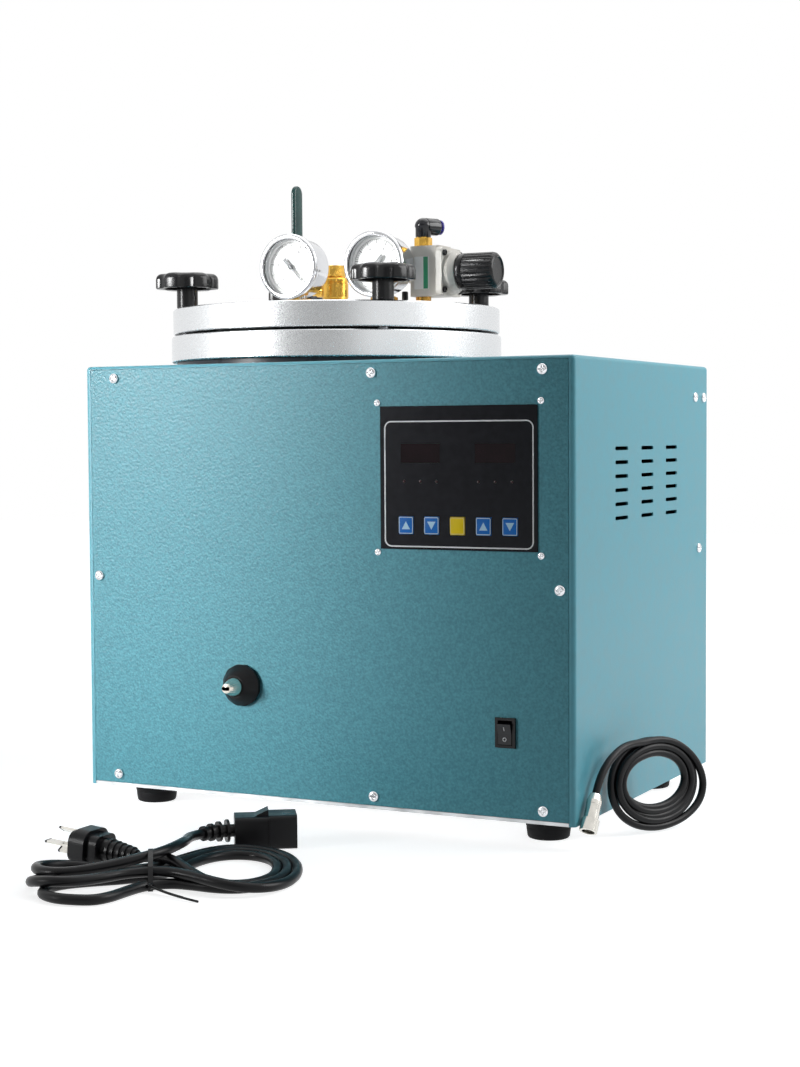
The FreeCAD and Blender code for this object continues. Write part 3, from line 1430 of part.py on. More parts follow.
def mains_connector():
    """Moulded appliance connector: front, rear housing with a finger wedge, bent ribbed relief."""
    front_start = connector_rear + ACROSS * connector_rear_length
    front_part = lying_bar(connector_width, connector_height, connector_corner, front_start, ACROSS,
                           connector_front_length)
    housing = lying_bar(connector_width - 2 * connector_rear_step, connector_height - connector_rear_step,
                        connector_corner, connector_rear - UP * (connector_rear_step / 2.0), ACROSS,
                        connector_rear_length)
    length, proud, width = connector_wedge
    foot = connector_height / 2.0 - connector_corner
    outline = [Vec(0, 0, foot), Vec(-length, 0, foot),
               Vec(-length, 0, connector_height / 2.0 - connector_rear_step),
               Vec(0, 0, connector_height / 2.0 + proud)]
    wedge = Part.Face(Part.makePolygon(outline + outline[:1])).extrude(Vec(0, width, 0))
    wedge.Placement = FreeCAD.Placement(front_start - AWAY * (width / 2.0),
                                        FreeCAD.Rotation(RIGHTWARD, ACROSS))
    path = Part.Wire(Part.Arc(connector_rear, relief_point(connector_bend / 2.0), connector_start).toShape())
    thin = cord_radius + relief_wall
    section = Part.Wire(Part.Circle(connector_rear, ACROSS, thin).toShape())
    core = Part.Solid(path.makePipeShell([section], True, False))
    ribs = []
    for k in range(relief_rib_count):
        share = k / (relief_rib_count - 1.0)
        turn = connector_bend * share
        radius = connector_relief_radius + (thin + relief_rib_proud - connector_relief_radius) * share
        ribs.append(rod(radius, relief_point(turn) - relief_way(turn) * relief_rib_width, relief_way(turn),
                        relief_rib_width))
    slots = [lying_bar(blade_width + 0.4, blade_height + 0.4, fit_gap,
                       connector_face_centre + AWAY * across + UP * up - ACROSS * slot_depth,
                       ACROSS, slot_depth + overrun)
             for across, up in ((-blade_spread, -blade_drop), (0.0, blade_drop), (blade_spread, -blade_drop))]
    return without(merged(front_part, housing, wedge, core, *ribs), *slots)


def lying_bar(width, height, radius, start, direction, length):
    """Rounded bar along a level direction, its height upright."""
    bar = Part.makeBox(length, width, height, Vec(0, -width / 2.0, -height / 2.0))
    corners = [edge for edge in bar.Edges if abs(edge.tangentAt(edge.FirstParameter).x) > 0.9]
    bar = bar.makeFillet(radius, corners)
    bar.Placement = FreeCAD.Placement(start, FreeCAD.Rotation(RIGHTWARD, direction))
    return bar


save("mains_hank", mains_hank())
save("mains_plug", mains_plug())
save("mains_connector", mains_connector())


# ---------------------------------------------------------------- signal lead
coil_axis = Vec(math.cos(math.radians(coil_lean)) * math.cos(math.radians(coil_turned)),
                math.cos(math.radians(coil_lean)) * math.sin(math.radians(coil_turned)),
                math.sin(math.radians(coil_lean)))
coil_along = UP.cross(coil_axis).normalize()
coil_upward = coil_axis.cross(coil_along)
lean_reach = math.hypot(coil_half_length * coil_along.x,
                        coil_half_height * coil_upward.x) + coil_section_radius
rest_reach = math.hypot(coil_half_length * coil_along.z,
                        coil_half_height * coil_upward.z) + coil_section_radius
coil_centre = Vec(right + wall_gap + lean_reach, coil_centre_y, rest_reach + fit_gap)
signal_radius = signal_cord_diameter / 2.0
plug_tip = Vec(right + wall_gap + signal_plug_radius, *signal_plug_tip)
plug_direction = Vec(0, -math.cos(math.radians(signal_plug_rise)), -math.sin(math.radians(signal_plug_rise)))
plug_rear = plug_tip - plug_direction * signal_plug_length


def signal_coil():
    """Outer shape of the coiled lead: two half rings joined by straight sides."""
    offset = coil_half_length - coil_half_height
    pieces = []
    for side in (-1, 1):
        ring_end = Part.makeTorus(coil_half_height, coil_section_radius, Vec(side * offset, 0, 0))
        reach = coil_half_height + 2 * coil_section_radius
        ends = sorted((side * offset, side * (offset + reach)))
        half = block(*ends, -reach, reach, -coil_section_radius - 1.0, coil_section_radius + 1.0)
        pieces.append(ring_end.common(half))
        pieces.append(rod(coil_section_radius, Vec(-offset, side * coil_half_height, 0), RIGHTWARD,
                          2 * offset))
    shape = merged(*pieces)
    turn = FreeCAD.Rotation(coil_along, coil_upward, coil_axis, "ZXY")
    shape.Placement = FreeCAD.Placement(coil_centre, turn)
    return shape


def aviation_plug():
    """Round connector: pin shell, knurled coupling ring and cord gland."""
    nut = signal_plug_radius
    profile = [(4.6, 0), (nut, 0), (nut, 9.0), (5.3, 9.5), (5.3, 20.0), (nut - 1.0, 20.5), (nut - 1.0, 23.0),
               (3.8, signal_plug_length), (0, signal_plug_length), (0, 7.0), (4.6, 7.0)]
    back_way = plug_direction * -1.0
    sideways = [RIGHTWARD * 2.2, LEFTWARD * 2.2, back_way.cross(RIGHTWARD) * 2.2,
                back_way.cross(LEFTWARD) * 2.2]
    pins = [rod(0.7, plug_tip + back_way * 1.5 + offset, back_way, 6.5) for offset in sideways]
    return merged(turned(profile, plug_tip, back_way), *pins)


def signal_lead():
    points = [plug_rear] + [Vec(*place) for place in signal_lead_route]
    return cord(signal_radius, points, "signal lead")


save("signal_coil", signal_coil())
save("signal_lead", signal_lead())
save("aviation_plug", aviation_plug())
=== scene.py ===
import math

import bmesh
import bpy
import numpy as np
from mathutils import Matrix, Vector


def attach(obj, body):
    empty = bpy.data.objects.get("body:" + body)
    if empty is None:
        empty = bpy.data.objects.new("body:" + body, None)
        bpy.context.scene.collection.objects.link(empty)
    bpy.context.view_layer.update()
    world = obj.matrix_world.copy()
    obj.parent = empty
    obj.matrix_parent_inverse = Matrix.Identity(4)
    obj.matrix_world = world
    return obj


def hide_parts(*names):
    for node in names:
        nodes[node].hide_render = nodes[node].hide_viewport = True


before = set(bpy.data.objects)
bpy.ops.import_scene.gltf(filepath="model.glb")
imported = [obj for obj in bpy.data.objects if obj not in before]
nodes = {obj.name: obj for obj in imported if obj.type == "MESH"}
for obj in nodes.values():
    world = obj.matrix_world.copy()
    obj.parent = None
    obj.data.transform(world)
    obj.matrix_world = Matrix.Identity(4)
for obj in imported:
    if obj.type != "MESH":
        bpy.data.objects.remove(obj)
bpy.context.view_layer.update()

# ------------ studio
# A pale table top and a white surround, with a dark curtain that only shiny
# things mirror.  The camera stands to the right, a little below the lid.  A
# lamp at the left front, a window at the right rear and a ceiling give light.


def placed(name, data):
    """New object of the data, in the scene."""
    thing = bpy.data.objects.new(name, data)
    bpy.context.collection.objects.link(thing)
    return thing


camera_data = bpy.data.cameras.new("camera")
camera_data.sensor_width = 36.0
camera_data.lens = 64.43
camera = placed("camera", camera_data)
stand = Matrix.Translation((0.6915, -1.3855, 0.2912))
for degrees, axis in ((26.74, "Z"), (87.08, "X"), (-0.34, "Z")):
    stand = stand @ Matrix.Rotation(math.radians(degrees), 4, axis)
camera.matrix_world = stand
bpy.context.scene.camera = camera
bpy.context.scene.view_settings.view_transform = "Standard"


def shader_tree(owner):
    """Empty node tree of a world or material, with a short way to add nodes and links."""
    owner.use_nodes = True
    owner.node_tree.nodes.clear()
    return owner.node_tree.nodes.new, owner.node_tree.links.new


def given(node, **values):
    """The node, with its inlets of these names set; an underscore stands for a space."""
    for inlet, value in values.items():
        node.inputs[inlet.replace("_", " ")].default_value = value
    return node


def maths(add, link, operation, first, second):
    """Outlet of a sum of two values, each a number or another outlet."""
    node = add("ShaderNodeMath")
    node.operation = operation
    for inlet, value in zip(node.inputs, (first, second)):
        if isinstance(value, float):
            inlet.default_value = value
        else:
            link(value, inlet)
    return node.outputs[0]


def ranged(add, link, value, low, high, to_low, to_high, smooth=False):
    """Outlet that goes from to_low to to_high as the value goes from low to high."""
    node = add("ShaderNodeMapRange")
    node.interpolation_type = "SMOOTHSTEP" if smooth else "LINEAR"
    given(node, From_Min=low, From_Max=high, To_Min=to_low, To_Max=to_high)
    link(value, node.inputs["Value"])
    return node.outputs[0]


def seen_directly(add, link):
    """1 for rays from the camera, a mirror or a clear piece, and 0 for the light that falls on things."""
    rays = add("ShaderNodeLightPath").outputs
    bounced = maths(add, link, "MAXIMUM", rays["Is Glossy Ray"], rays["Is Transmission Ray"])
    return maths(add, link, "MAXIMUM", rays["Is Camera Ray"], bounced)


surround = bpy.data.worlds.new("white_surround")
bpy.context.scene.world = surround
add, link = shader_tree(surround)
white = given(add("ShaderNodeBackground"), Color=(1.0, 1.0, 1.0, 1.0))
towards_curtain = add("ShaderNodeVectorMath")
towards_curtain.operation = "DOT_PRODUCT"
towards_curtain.inputs[1].default_value = (0.05, -1.0, 0.0)
link(add("ShaderNodeTexCoord").outputs["Generated"], towards_curtain.inputs[0])
curtain = ranged(add, link, towards_curtain.outputs["Value"], 0.62, 0.92, 0.0, 0.56, smooth=True)
mirrored = maths(add, link, "MULTIPLY", curtain, add("ShaderNodeLightPath").outputs["Is Glossy Ray"])
link(maths(add, link, "SUBTRACT", 1.0, mirrored), white.inputs["Strength"])
fill = given(add("ShaderNodeBackground"), Color=(0.94, 0.97, 1.0, 1.0), Strength=0.05)
either = add("ShaderNodeMixShader")
link(seen_directly(add, link), either.inputs[0])
link(fill.outputs[0], either.inputs[1])
link(white.outputs[0], either.inputs[2])
link(either.outputs[0], add("ShaderNodeOutputWorld").inputs[0])


def window(name, place, aim, size, watts, beam=180.0):
    """Rectangular lamp that faces the aim point and keeps its light within the beam's degrees."""
    data = bpy.data.lights.new(name, "AREA")
    data.shape = "RECTANGLE"
    data.size, data.size_y = size
    data.energy = watts
    data.spread = math.radians(beam)
    lamp = placed(name, data)
    lamp.location = place
    lamp.rotation_euler = (Vector(aim) - Vector(place)).to_track_quat("-Z", "Y").to_euler()


window("left_window", (-0.75, -1.0, 0.48), (-0.16, -0.15, 0.24), (0.3, 0.7), 1.0, beam=28.0)
window("right_window", (1.40, 0.50, 1.05), (0.2, 0.0, 0.3), (1.0, 1.0), 18.0)
window("ceiling", (0.0, 0.6, 1.9), (0.0, 0.1, 0.3), (2.0, 1.6), 18.0)

table = bpy.data.meshes.new("table_top")
table.from_pydata([(-4, -4, 0), (4, -4, 0), (4, 4, 0), (-4, 4, 0)], [], [(0, 1, 2, 3)])
table_top = placed("table_top", table)
paper = bpy.data.materials.new("white_paper")
add, link = shader_tree(paper)
sheet = given(add("ShaderNodeBsdfDiffuse"), Color=(0.50, 0.51, 0.52, 1.0))
glow = add("ShaderNodeEmission")
from_middle = add("ShaderNodeVectorMath")
from_middle.operation = "LENGTH"
link(add("ShaderNodeTexCoord").outputs["Object"], from_middle.inputs[0])
brighter = ranged(add, link, from_middle.outputs["Value"], 0.45, 1.3, 0.80, 1.05, smooth=True)
link(maths(add, link, "MULTIPLY", seen_directly(add, link), brighter), glow.inputs["Strength"])
both = add("ShaderNodeAddShader")
link(sheet.outputs[0], both.inputs[0])
link(glow.outputs[0], both.inputs[1])
link(both.outputs[0], add("ShaderNodeOutputMaterial").inputs[0])
table.materials.append(paper)

# ------------ cabinet
# Folded sheet steel: a wrap of left wall, top and right wall, let-in front and
# rear panels and a zinc plated tray.  The panels carry a coarse hammered teal
# stove enamel, the wrap a finer one in the same teal but painted about a quarter
# lighter, which is painted light for its lit right wall.


def noise(add, link, place, scale, detail):
    """Outlet of a value that varies over the place like clouds."""
    texture = given(add("ShaderNodeTexNoise"), Scale=scale, Detail=detail)
    link(place, texture.inputs["Vector"])
    return texture.outputs["Fac"]


def tinted(add, link, value, colour, stops, changes):
    """Outlet of the colour, times the first change at the value's low stop and the second at its high."""
    ramp = add("ShaderNodeValToRGB")
    for stop, position, change in zip(ramp.color_ramp.elements, stops, changes):
        stop.position = position
        stop.color = [min(1.0, channel * change) for channel in colour] + [1.0]
    link(value, ramp.inputs[0])
    return ramp.outputs[0]


def surface(name, **values):
    """Material of one shader with those inlets set, ways to add and link nodes, and the shader's inlets."""
    material = bpy.data.materials.new(name)
    add, link = shader_tree(material)
    shader = given(add("ShaderNodeBsdfPrincipled"), **values)
    link(shader.outputs[0], add("ShaderNodeOutputMaterial").inputs[0])
    return material, add, link, shader.inputs


def finish(name, colour, roughness, metallic=0.0, coat=0.0, grain=0.0, grain_size=1.0, mottle=0.1,
           mottle_size=15.0, spread=0.05, pebbles=False, specular=0.5):
    """Surface from noise on the piece's own coordinates, sizes in millimetres: the colour wanders by the
    mottle, the roughness by the spread, and a bump of the grain's size stands up by the grain's strength."""
    material, add, link, inlets = surface(name, Metallic=metallic, Coat_Weight=coat, Coat_Roughness=0.1,
                                          Specular_IOR_Level=specular)
    place = add("ShaderNodeTexCoord").outputs["Object"]
    clouds = noise(add, link, place, 1000.0 / mottle_size, 4.0)
    tones = tinted(add, link, clouds, colour, (0.32, 0.68), (1.0 - mottle, 1.0 + mottle))
    link(tones, inlets["Base Color"])
    sheen = ranged(add, link, clouds, 0.32, 0.68, max(0.03, roughness - spread), roughness + spread)
    link(sheen, inlets["Roughness"])
    if grain:
        kind = "ShaderNodeTexVoronoi" if pebbles else "ShaderNodeTexNoise"
        texture = given(add(kind), Scale=1000.0 / grain_size)
        link(place, texture.inputs["Vector"])
        if pebbles:
            texture.feature = "SMOOTH_F1"
        relief = given(add("ShaderNodeBump"), Strength=grain, Distance=grain_size * 0.0003)
        link(texture.outputs["Distance" if pebbles else "Fac"], relief.inputs["Height"])
        link(relief.outputs[0], inlets["Normal"])
    return material


def dress(material, *names):
    """Give CAD nodes one material all over."""
    for name in names:
        for slot in nodes[name].material_slots:
            slot.material = material


def finer(name, node, material, body, break_width):
    """Copy of a CAD node whose doubles are merged, whose flat regions are single faces, and whose sharp
    edges are broken by a small bevel; it stands for the node."""
    sharp_angle = math.radians(32)
    mesh = nodes[node].data.copy()
    work = bmesh.new()
    work.from_mesh(mesh)
    bmesh.ops.remove_doubles(work, verts=work.verts, dist=1e-6)
    bmesh.ops.dissolve_limit(work, angle_limit=math.radians(0.4), verts=work.verts, edges=work.edges)
    work.to_mesh(mesh)
    work.free()
    mesh.materials.clear()
    mesh.materials.append(material)
    mesh.shade_smooth()
    mesh.set_sharp_from_angle(angle=sharp_angle)
    copy = placed(name, mesh)
    edge = copy.modifiers.new("edge_break", "BEVEL")
    edge.width = break_width / 1000.0
    edge.segments = 2
    edge.limit_method = "ANGLE"
    edge.angle_limit = sharp_angle
    edge.harden_normals = True
    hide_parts(node)
    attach(copy, body)
    return copy


hammered = finish("hammered_teal", (0.085, 0.315, 0.385), 0.36, grain=0.38, grain_size=1.5, mottle=0.17,
                  mottle_size=1.8, spread=0.06, pebbles=True, specular=0.3)
# The wrap's teal is the panels' teal about 1.23 times lighter. That is painted light for the light on its
# right wall, carried over the whole wrap. Its finer grain and smaller mottle are its own.
smooth_teal_painted_light = finish("smooth_teal_painted_light", (0.105, 0.385, 0.475), 0.4, grain=0.3, grain_size=1.2, mottle=0.05,
                     mottle_size=8.0)
zinc = finish("zinc_plate", (0.55, 0.56, 0.57), 0.38, metallic=1.0, grain=0.1, mottle=0.15, spread=0.08)
dress(smooth_teal_painted_light, "cabinet_wrap")
for end in ("front", "rear"):
    finer(end + "_face_panel", end + "_panel", hammered, "cabinet", 0.25)
dress(zinc, "base_plate")


def skin(rings, ends="closed"):
    """Points and faces over a stack of rings of points: each end is closed to a point at its middle, or
    the last ring joins the first."""
    rows, around = rings.shape[:2]
    points = rings.reshape(-1, 3)
    step = np.arange(around)
    onward = (step + 1) % around
    low = np.arange(rows if ends == "joined" else rows - 1)[:, None] * around
    high = (low + around) % (rows * around)
    faces = np.stack([low + step, low + onward, high + onward, high + step], -1).reshape(-1, 4).tolist()
    if ends == "closed":
        last = (rows - 1) * around
        faces += np.stack([onward, step, np.full(around, len(points))], -1).tolist()
        faces += np.stack([last + step, last + onward, np.full(around, len(points) + 1)], -1).tolist()
        points = np.vstack([points, rings[0].mean(0), rings[-1].mean(0)])
    return points, faces


def directions(way):
    """Sideways, upwards and onwards unit vectors of a form that is carried along the given way."""
    way = np.array(way, float) / np.linalg.norm(way)
    side = np.cross((0.0, 0.0, 1.0), way) if abs(way[2]) < 0.9 else np.array([1.0, 0.0, 0.0])
    side = side / np.linalg.norm(side)
    return side, np.cross(way, side), way


def steps_round(around):
    """Angles of that many even steps round a circle."""
    return np.arange(around) * 2 * np.pi / around


def round_form(radius, along, place, way, ends="closed"):
    """Form about an axis: its radius and its distance along the axis, a row to each ring of points."""
    turn = steps_round(radius.shape[1])
    side, up, onwards = directions(way)
    round_about = np.cos(turn)[:, None] * side + np.sin(turn)[:, None] * up
    return skin(np.array(place, float) + along[..., None] * onwards + radius[..., None] * round_about, ends)


def turned(profile, place, way, limit=None, around=48, ends="closed"):
    """Form of revolution: profile rows are (radius, distance along the way).  The limit, one radius for each
    step round, cuts flats or lobes into it: the radius there is the smaller of the two."""
    profile = np.array(profile, float)
    radius = np.repeat(profile[:, :1], around, axis=1)
    if limit is not None:
        radius = np.minimum(radius, limit)
    return round_form(radius, profile[:, 1:], place, way, ends)


def ring(profile, place, way, limit=None, around=48):
    """Form of revolution whose profile closes on itself, so that it is open in the middle."""
    return turned(profile, place, way, limit, around, "joined")


def rounded_bar(width, height, corner, levels, place, way, steps=5):
    """Bar of rounded rectangular section: levels are rows of (inset, distance along the way), and at each
    of them all four sides are drawn in by the inset."""
    levels = np.array(levels, float)
    quarter = np.linspace(0, np.pi / 2, steps + 1)
    turn = np.concatenate([quarter + k * np.pi / 2 for k in range(4)])
    across = np.repeat([1, -1, -1, 1], steps + 1)
    upright = np.repeat([1, 1, -1, -1], steps + 1)
    inset = levels[:, :1]
    radius = np.maximum(corner - inset, 0.02)
    flat_x = across * (width / 2.0 - inset - radius) + radius * np.cos(turn)
    flat_y = upright * (height / 2.0 - inset - radius) + radius * np.sin(turn)
    side, up, onwards = directions(way)
    flat = np.array(place, float) + flat_x[..., None] * side + flat_y[..., None] * up
    return skin(flat + levels[:, 1:, None] * onwards)


def outwards(points, faces):
    """The faces, turned round if the volume that they close comes out negative."""
    corners = np.array([face[:3] for face in faces])
    a, b, c = (points[corners[:, k]] - points.mean(0) for k in range(3))
    return faces if np.einsum("ij,ij->i", a, np.cross(b, c)).sum() > 0 else [face[::-1] for face in faces]


def piece(name, skins, material, body, replaced=(), sharp=35.0):
    """One object from closed skins in millimetres, smooth across edges flatter than the sharp angle."""
    points = np.vstack([skin_points for skin_points, skin_faces in skins]) / 1000.0
    faces = []
    first = 0
    for skin_points, skin_faces in skins:
        faces += [[first + corner for corner in face] for face in outwards(skin_points, skin_faces)]
        first += len(skin_points)
    mesh = bpy.data.meshes.new(name)
    mesh.from_pydata(points.tolist(), [], faces)
    mesh.shade_smooth()
    mesh.set_sharp_from_angle(angle=math.radians(sharp))
    mesh.materials.append(material)
    whole = placed(name, mesh)
    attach(whole, body)
    if replaced:
        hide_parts(*replaced)
    return whole


def pan_screw(place, way, radius=4.0, height=2.4, shank=2.0, length=9.0, around=32):
    """Pan head with a cross recess on a round shank.  Height over the head = a dome, less a recess that fades
    with the distance from the nearer arm of the cross, which is about reach times |sin 2t| / 2."""
    share = np.linspace(1.0, 0.08, 13)[:, None]
    reach = share * radius * 0.94
    arm = np.abs(np.sin(2 * steps_round(around))) / 2.0 * reach
    recess = np.clip(1.6 - arm / (radius * 0.12), 0.0, 1.0) * np.clip((0.68 - share) * 9.0, 0.0, 1.0)
    rise = height * (0.45 + 0.55 * np.sqrt(1.0 - 0.92 * share ** 2)) - 0.5 * height * recess
    shape = np.array([(shank * 0.6, -length), (shank, 1.0 - length), (shank, 0.0), (radius, 0.0),
                      (radius, height * 0.4)])
    radii = np.vstack([np.repeat(shape[:, :1], around, axis=1), np.repeat(reach, around, axis=1)])
    along = np.vstack([np.repeat(shape[:, 1:], around, axis=1), rise])
    return round_form(radii, along, place, way)


# Chromed pan-head screws, eight round each panel and three in the right wall.
FRONT = (0, -1, 0)
BACK = (0, 1, 0)
LEFT = (-1, 0, 0)
RIGHT = (1, 0, 0)
UP = (0, 0, 1)
DOWN = (0, 0, -1)
front_face, rear_face, right_wall = -150.0, 150.0, 204.8
chrome = finish("bright_chrome", (0.74, 0.75, 0.77), 0.12, metallic=1.0, mottle=0.04, spread=0.04)
round_panel = [(x, z) for z in (26.7, 337.3) for x in (-180.2, 46.3, 180.8)]
round_panel += [(-196.2, 183.0), (193.8, 183.0)]
piece("cabinet_screws",
      [pan_screw((x, front_face, z), FRONT) for x, z in round_panel]
      + [pan_screw((x, rear_face, z), BACK) for x, z in round_panel]
      + [pan_screw((right_wall, y, z), RIGHT) for y, z in ((115.3, 321.5), (137.5, 321.5), (125.5, 198.0))],
      chrome, "cabinet", ["panel_screws"], sharp=40.0)

# Four moulded rubber feet, each screwed up through its middle.
foot_places = [(x, y) for x in (-171.2, 168.8) for y in (-111.0, 111.0)]
foot = [(5.5, 9.0), (5.5, 0.4), (5.9, 0.0), (13.6, 0.0), (14.6, 0.4), (15.4, 1.4), (16.2, 7.5), (16.0, 8.2),
        (16.5, 8.9), (17.2, 15.6), (16.9, 16.6), (16.0, 17.0), (2.1, 17.0), (2.1, 9.0)]
rubber_foot = finish("foot_rubber", (0.008, 0.008, 0.009), 0.6, grain=0.4, grain_size=0.9, mottle=0.25,
                     specular=0.15)
piece("rubber_feet", [ring(foot, (x, y, 0.0), UP, around=72) for x, y in foot_places],
      rubber_foot, "cabinet", ["feet"])
piece("foot_fixings", [pan_screw((x, y, 9.0), DOWN, length=11.5) for x, y in foot_places],
      chrome, "cabinet", ["foot_screws"])

# ------------ wax pot
# A cast aluminium vessel let into the top, with a heavy turned flange.  It
# stands on a spacer ring, coloured near black as painted shade for the gap
# under the flange; a band heater grips it inside the cabinet, and a silicone
# gasket lies on its rim.
pot_x, pot_y = -65.7, 4.0


def turned_metal(name, colour, roughness):
    """Lathe-turned metal: noise over the distance from the pot's upright axis and over the height raises
    fine rings on faces and rims, and blotches change the roughness and a little the colour."""
    material, add, link, inlets = surface(name, Metallic=1.0, Anisotropic=0.35)
    centre = given(add("ShaderNodeMapping"), Location=(-pot_x / 1000.0, -pot_y / 1000.0, 0.0))
    link(add("ShaderNodeTexCoord").outputs["Object"], centre.inputs["Vector"])
    apart = add("ShaderNodeSeparateXYZ")
    link(centre.outputs[0], apart.inputs[0])
    flat = add("ShaderNodeCombineXYZ")
    link(apart.outputs[0], flat.inputs[0])
    link(apart.outputs[1], flat.inputs[1])
    reach = add("ShaderNodeVectorMath")
    reach.operation = "LENGTH"
    link(flat.outputs[0], reach.inputs[0])
    rings = add("ShaderNodeCombineXYZ")
    link(reach.outputs["Value"], rings.inputs[0])
    link(apart.outputs[2], rings.inputs[2])
    cuts = noise(add, link, rings.outputs[0], 3800.0, 2.0)
    blotches = noise(add, link, centre.outputs[0], 900.0, 6.0)
    sheen = ranged(add, link, blotches, 0.3, 0.7, roughness - 0.03, roughness + 0.03)
    link(sheen, inlets["Roughness"])
    tones = tinted(add, link, blotches, colour, (0.3, 0.7), (0.97, 1.02))
    link(tones, inlets["Base Color"])
    relief = given(add("ShaderNodeBump"), Strength=0.5, Distance=0.00002)
    link(cuts, relief.inputs["Height"])
    link(relief.outputs[0], inlets["Normal"])
    return material


aluminium = turned_metal("turned_aluminium", (0.73, 0.745, 0.76), 0.27)
# The spacer ring is a real part. Its near-black colour is painted shade for the gap under the pot flange.
gap_shade_ring = finish("ring_painted_gap_shade", (0.012, 0.015, 0.02), 0.3, mottle=0.15, specular=0.3)
finer("pot_with_flange", "wax_pot", aluminium, "cabinet", 0.35)
finer("spacer_ring", "pot_trim_ring", gap_shade_ring, "cabinet", 0.3)
dress(finish("silicone_seal", (0.012, 0.012, 0.012), 0.6, mottle=0.15, specular=0.2), "pot_gasket")
dress(finish("drawn_steel", (0.5, 0.5, 0.52), 0.35, metallic=1.0, mottle=0.1), "heater_band", "nozzle_heater")

# ------------ nozzle
# Under the pot a brass feed block with a solenoid valve leads to the nozzle:
# a twelve-sided heat-proof grip ring and a polished tip with two fine bores.


def flat_sides(count, across_flats, around=48):
    """Distance from a bar's axis to its flats at each step round: half the width over the cosine of the
    angle from the middle of the nearest flat."""
    half = np.pi / count
    return across_flats / 2.0 / np.cos((steps_round(around) + half) % (2 * half) - half)


collar = [(5.1, 0.0), (15.2, 0.0), (16.0, 0.5), (16.0, 2.6), (15.8, 3.1), (15.0, 3.9), (12.2, 8.0),
          (9.2, 11.8), (8.3, 12.4), (7.6, 12.4), (7.2, 12.0), (5.1, 12.0)]
grip = finish("heat_proof_grip", (0.007, 0.007, 0.008), 0.42, grain=0.3, grain_size=0.7, mottle=0.25,
              spread=0.08, specular=0.2)
tip_metal = finish("polished_tip", (0.74, 0.70, 0.62), 0.18, metallic=1.0, mottle=0.1, mottle_size=5.0,
                   spread=0.08)
brass = finish("machined_brass", (0.80, 0.47, 0.085), 0.22, metallic=1.0, grain=0.12, grain_size=0.5,
               mottle=0.12, mottle_size=6.0, spread=0.07)
moulding = finish("black_moulding", (0.007, 0.007, 0.008), 0.26, mottle=0.2, spread=0.06, specular=0.3)
piece("nozzle_grip", [ring(collar, (pot_x, front_face, 103.0), FRONT, flat_sides(12, 31.2, 96), 96)],
      grip, "cabinet", ["nozzle_collar"], sharp=20.0)
finer("nozzle_point", "nozzle_tip", tip_metal, "cabinet", 0.2)
dress(brass, "nozzle_body")
dress(moulding, "wax_valve", "vacuum_valve")
varnished = finish("varnished_core", (0.10, 0.10, 0.11), 0.5, metallic=0.5, mottle=0.25, mottle_size=4.0)
dress(varnished, "transformer")

# ------------ lid and clamp knobs
# A thick turned aluminium lid, held by four black star knobs moulded on steel
# studs that screw into the flange.
finer("pot_lid", "lid", aluminium, "lid", 0.35)


def star_outline(inset, around=192):
    """Distance from the knob's axis to its six-lobed edge at each step round: the smaller of the rim circle
    and the near side of the scallop circle, both moved inwards by the inset, blended at their corner."""
    rim_radius, scallop_centre, scallop_radius, out_of_reach = 25.0, 30.5, 9.0, 60.0
    turn = (steps_round(around) + np.pi / 6) % (np.pi / 3) - np.pi / 6
    rim = np.full(around, rim_radius - inset)
    under_root = (scallop_radius + inset) ** 2 - (scallop_centre * np.sin(turn)) ** 2
    near_side = scallop_centre * np.cos(turn) - np.sqrt(np.maximum(under_root, 0.0))
    scallop = np.minimum(np.where(under_root > 0, near_side, out_of_reach), out_of_reach)
    sharpness = 1.6
    return -np.log(np.exp(-rim * sharpness) + np.exp(-scallop * sharpness)) / sharpness


def star_grip(x, y, seat=394.6):
    """Hub, hollow underside and crowned star head, as one stack of rings from the seat upwards."""
    under = seat + 15.3
    around = 192
    rows = [np.full(around, r) for r in (5.0, 7.9, 8.4, 8.4, 9.2, 18.4, 19.0, 19.0)]
    heights = [seat, seat, seat + 0.5, under + 4.4, under + 5.0, under + 5.0, under + 4.4, under + 0.5]
    for inset, height in ((1.4, 0.0), (0.5, 0.15), (0.0, 0.8), (0.0, 7.2)):
        rows.append(star_outline(inset))
        heights.append(under + height)
    for angle in np.radians([18, 36, 54, 72, 90]):
        rows.append(star_outline(5.0 - 5.0 * math.cos(angle)))
        heights.append(under + 7.2 + 5.0 * math.sin(angle))
    for radius, drop in ((14.5, 0.15), (13.8, 0.7), (7.5, 0.8), (6.8, 0.3), (3.0, 0.0)):
        rows.append(np.full(around, radius))
        heights.append(under + 12.2 - drop)
    return round_form(np.array(rows), np.array(heights)[:, None], (x, y, 0.0), UP)


def stud(x, y, low, high, radius=5.0, pitch=1.5, ridge=0.85, around=24):
    """Threaded stud: radius = full radius less a ridge's depth times how far the height, less the turn's
    share of the pitch, is from the nearest crest."""
    turn = np.arange(around) / around
    height = np.arange(low, high, pitch / 6)[:, None]
    fade = np.clip(high - 3.0 - height, 0.0, 1.0)
    reach = radius - ridge * fade * np.abs(((height / pitch - turn) % 1.0) * 2.0 - 1.0)
    return round_form(reach, height, (x, y, 0.0), UP)


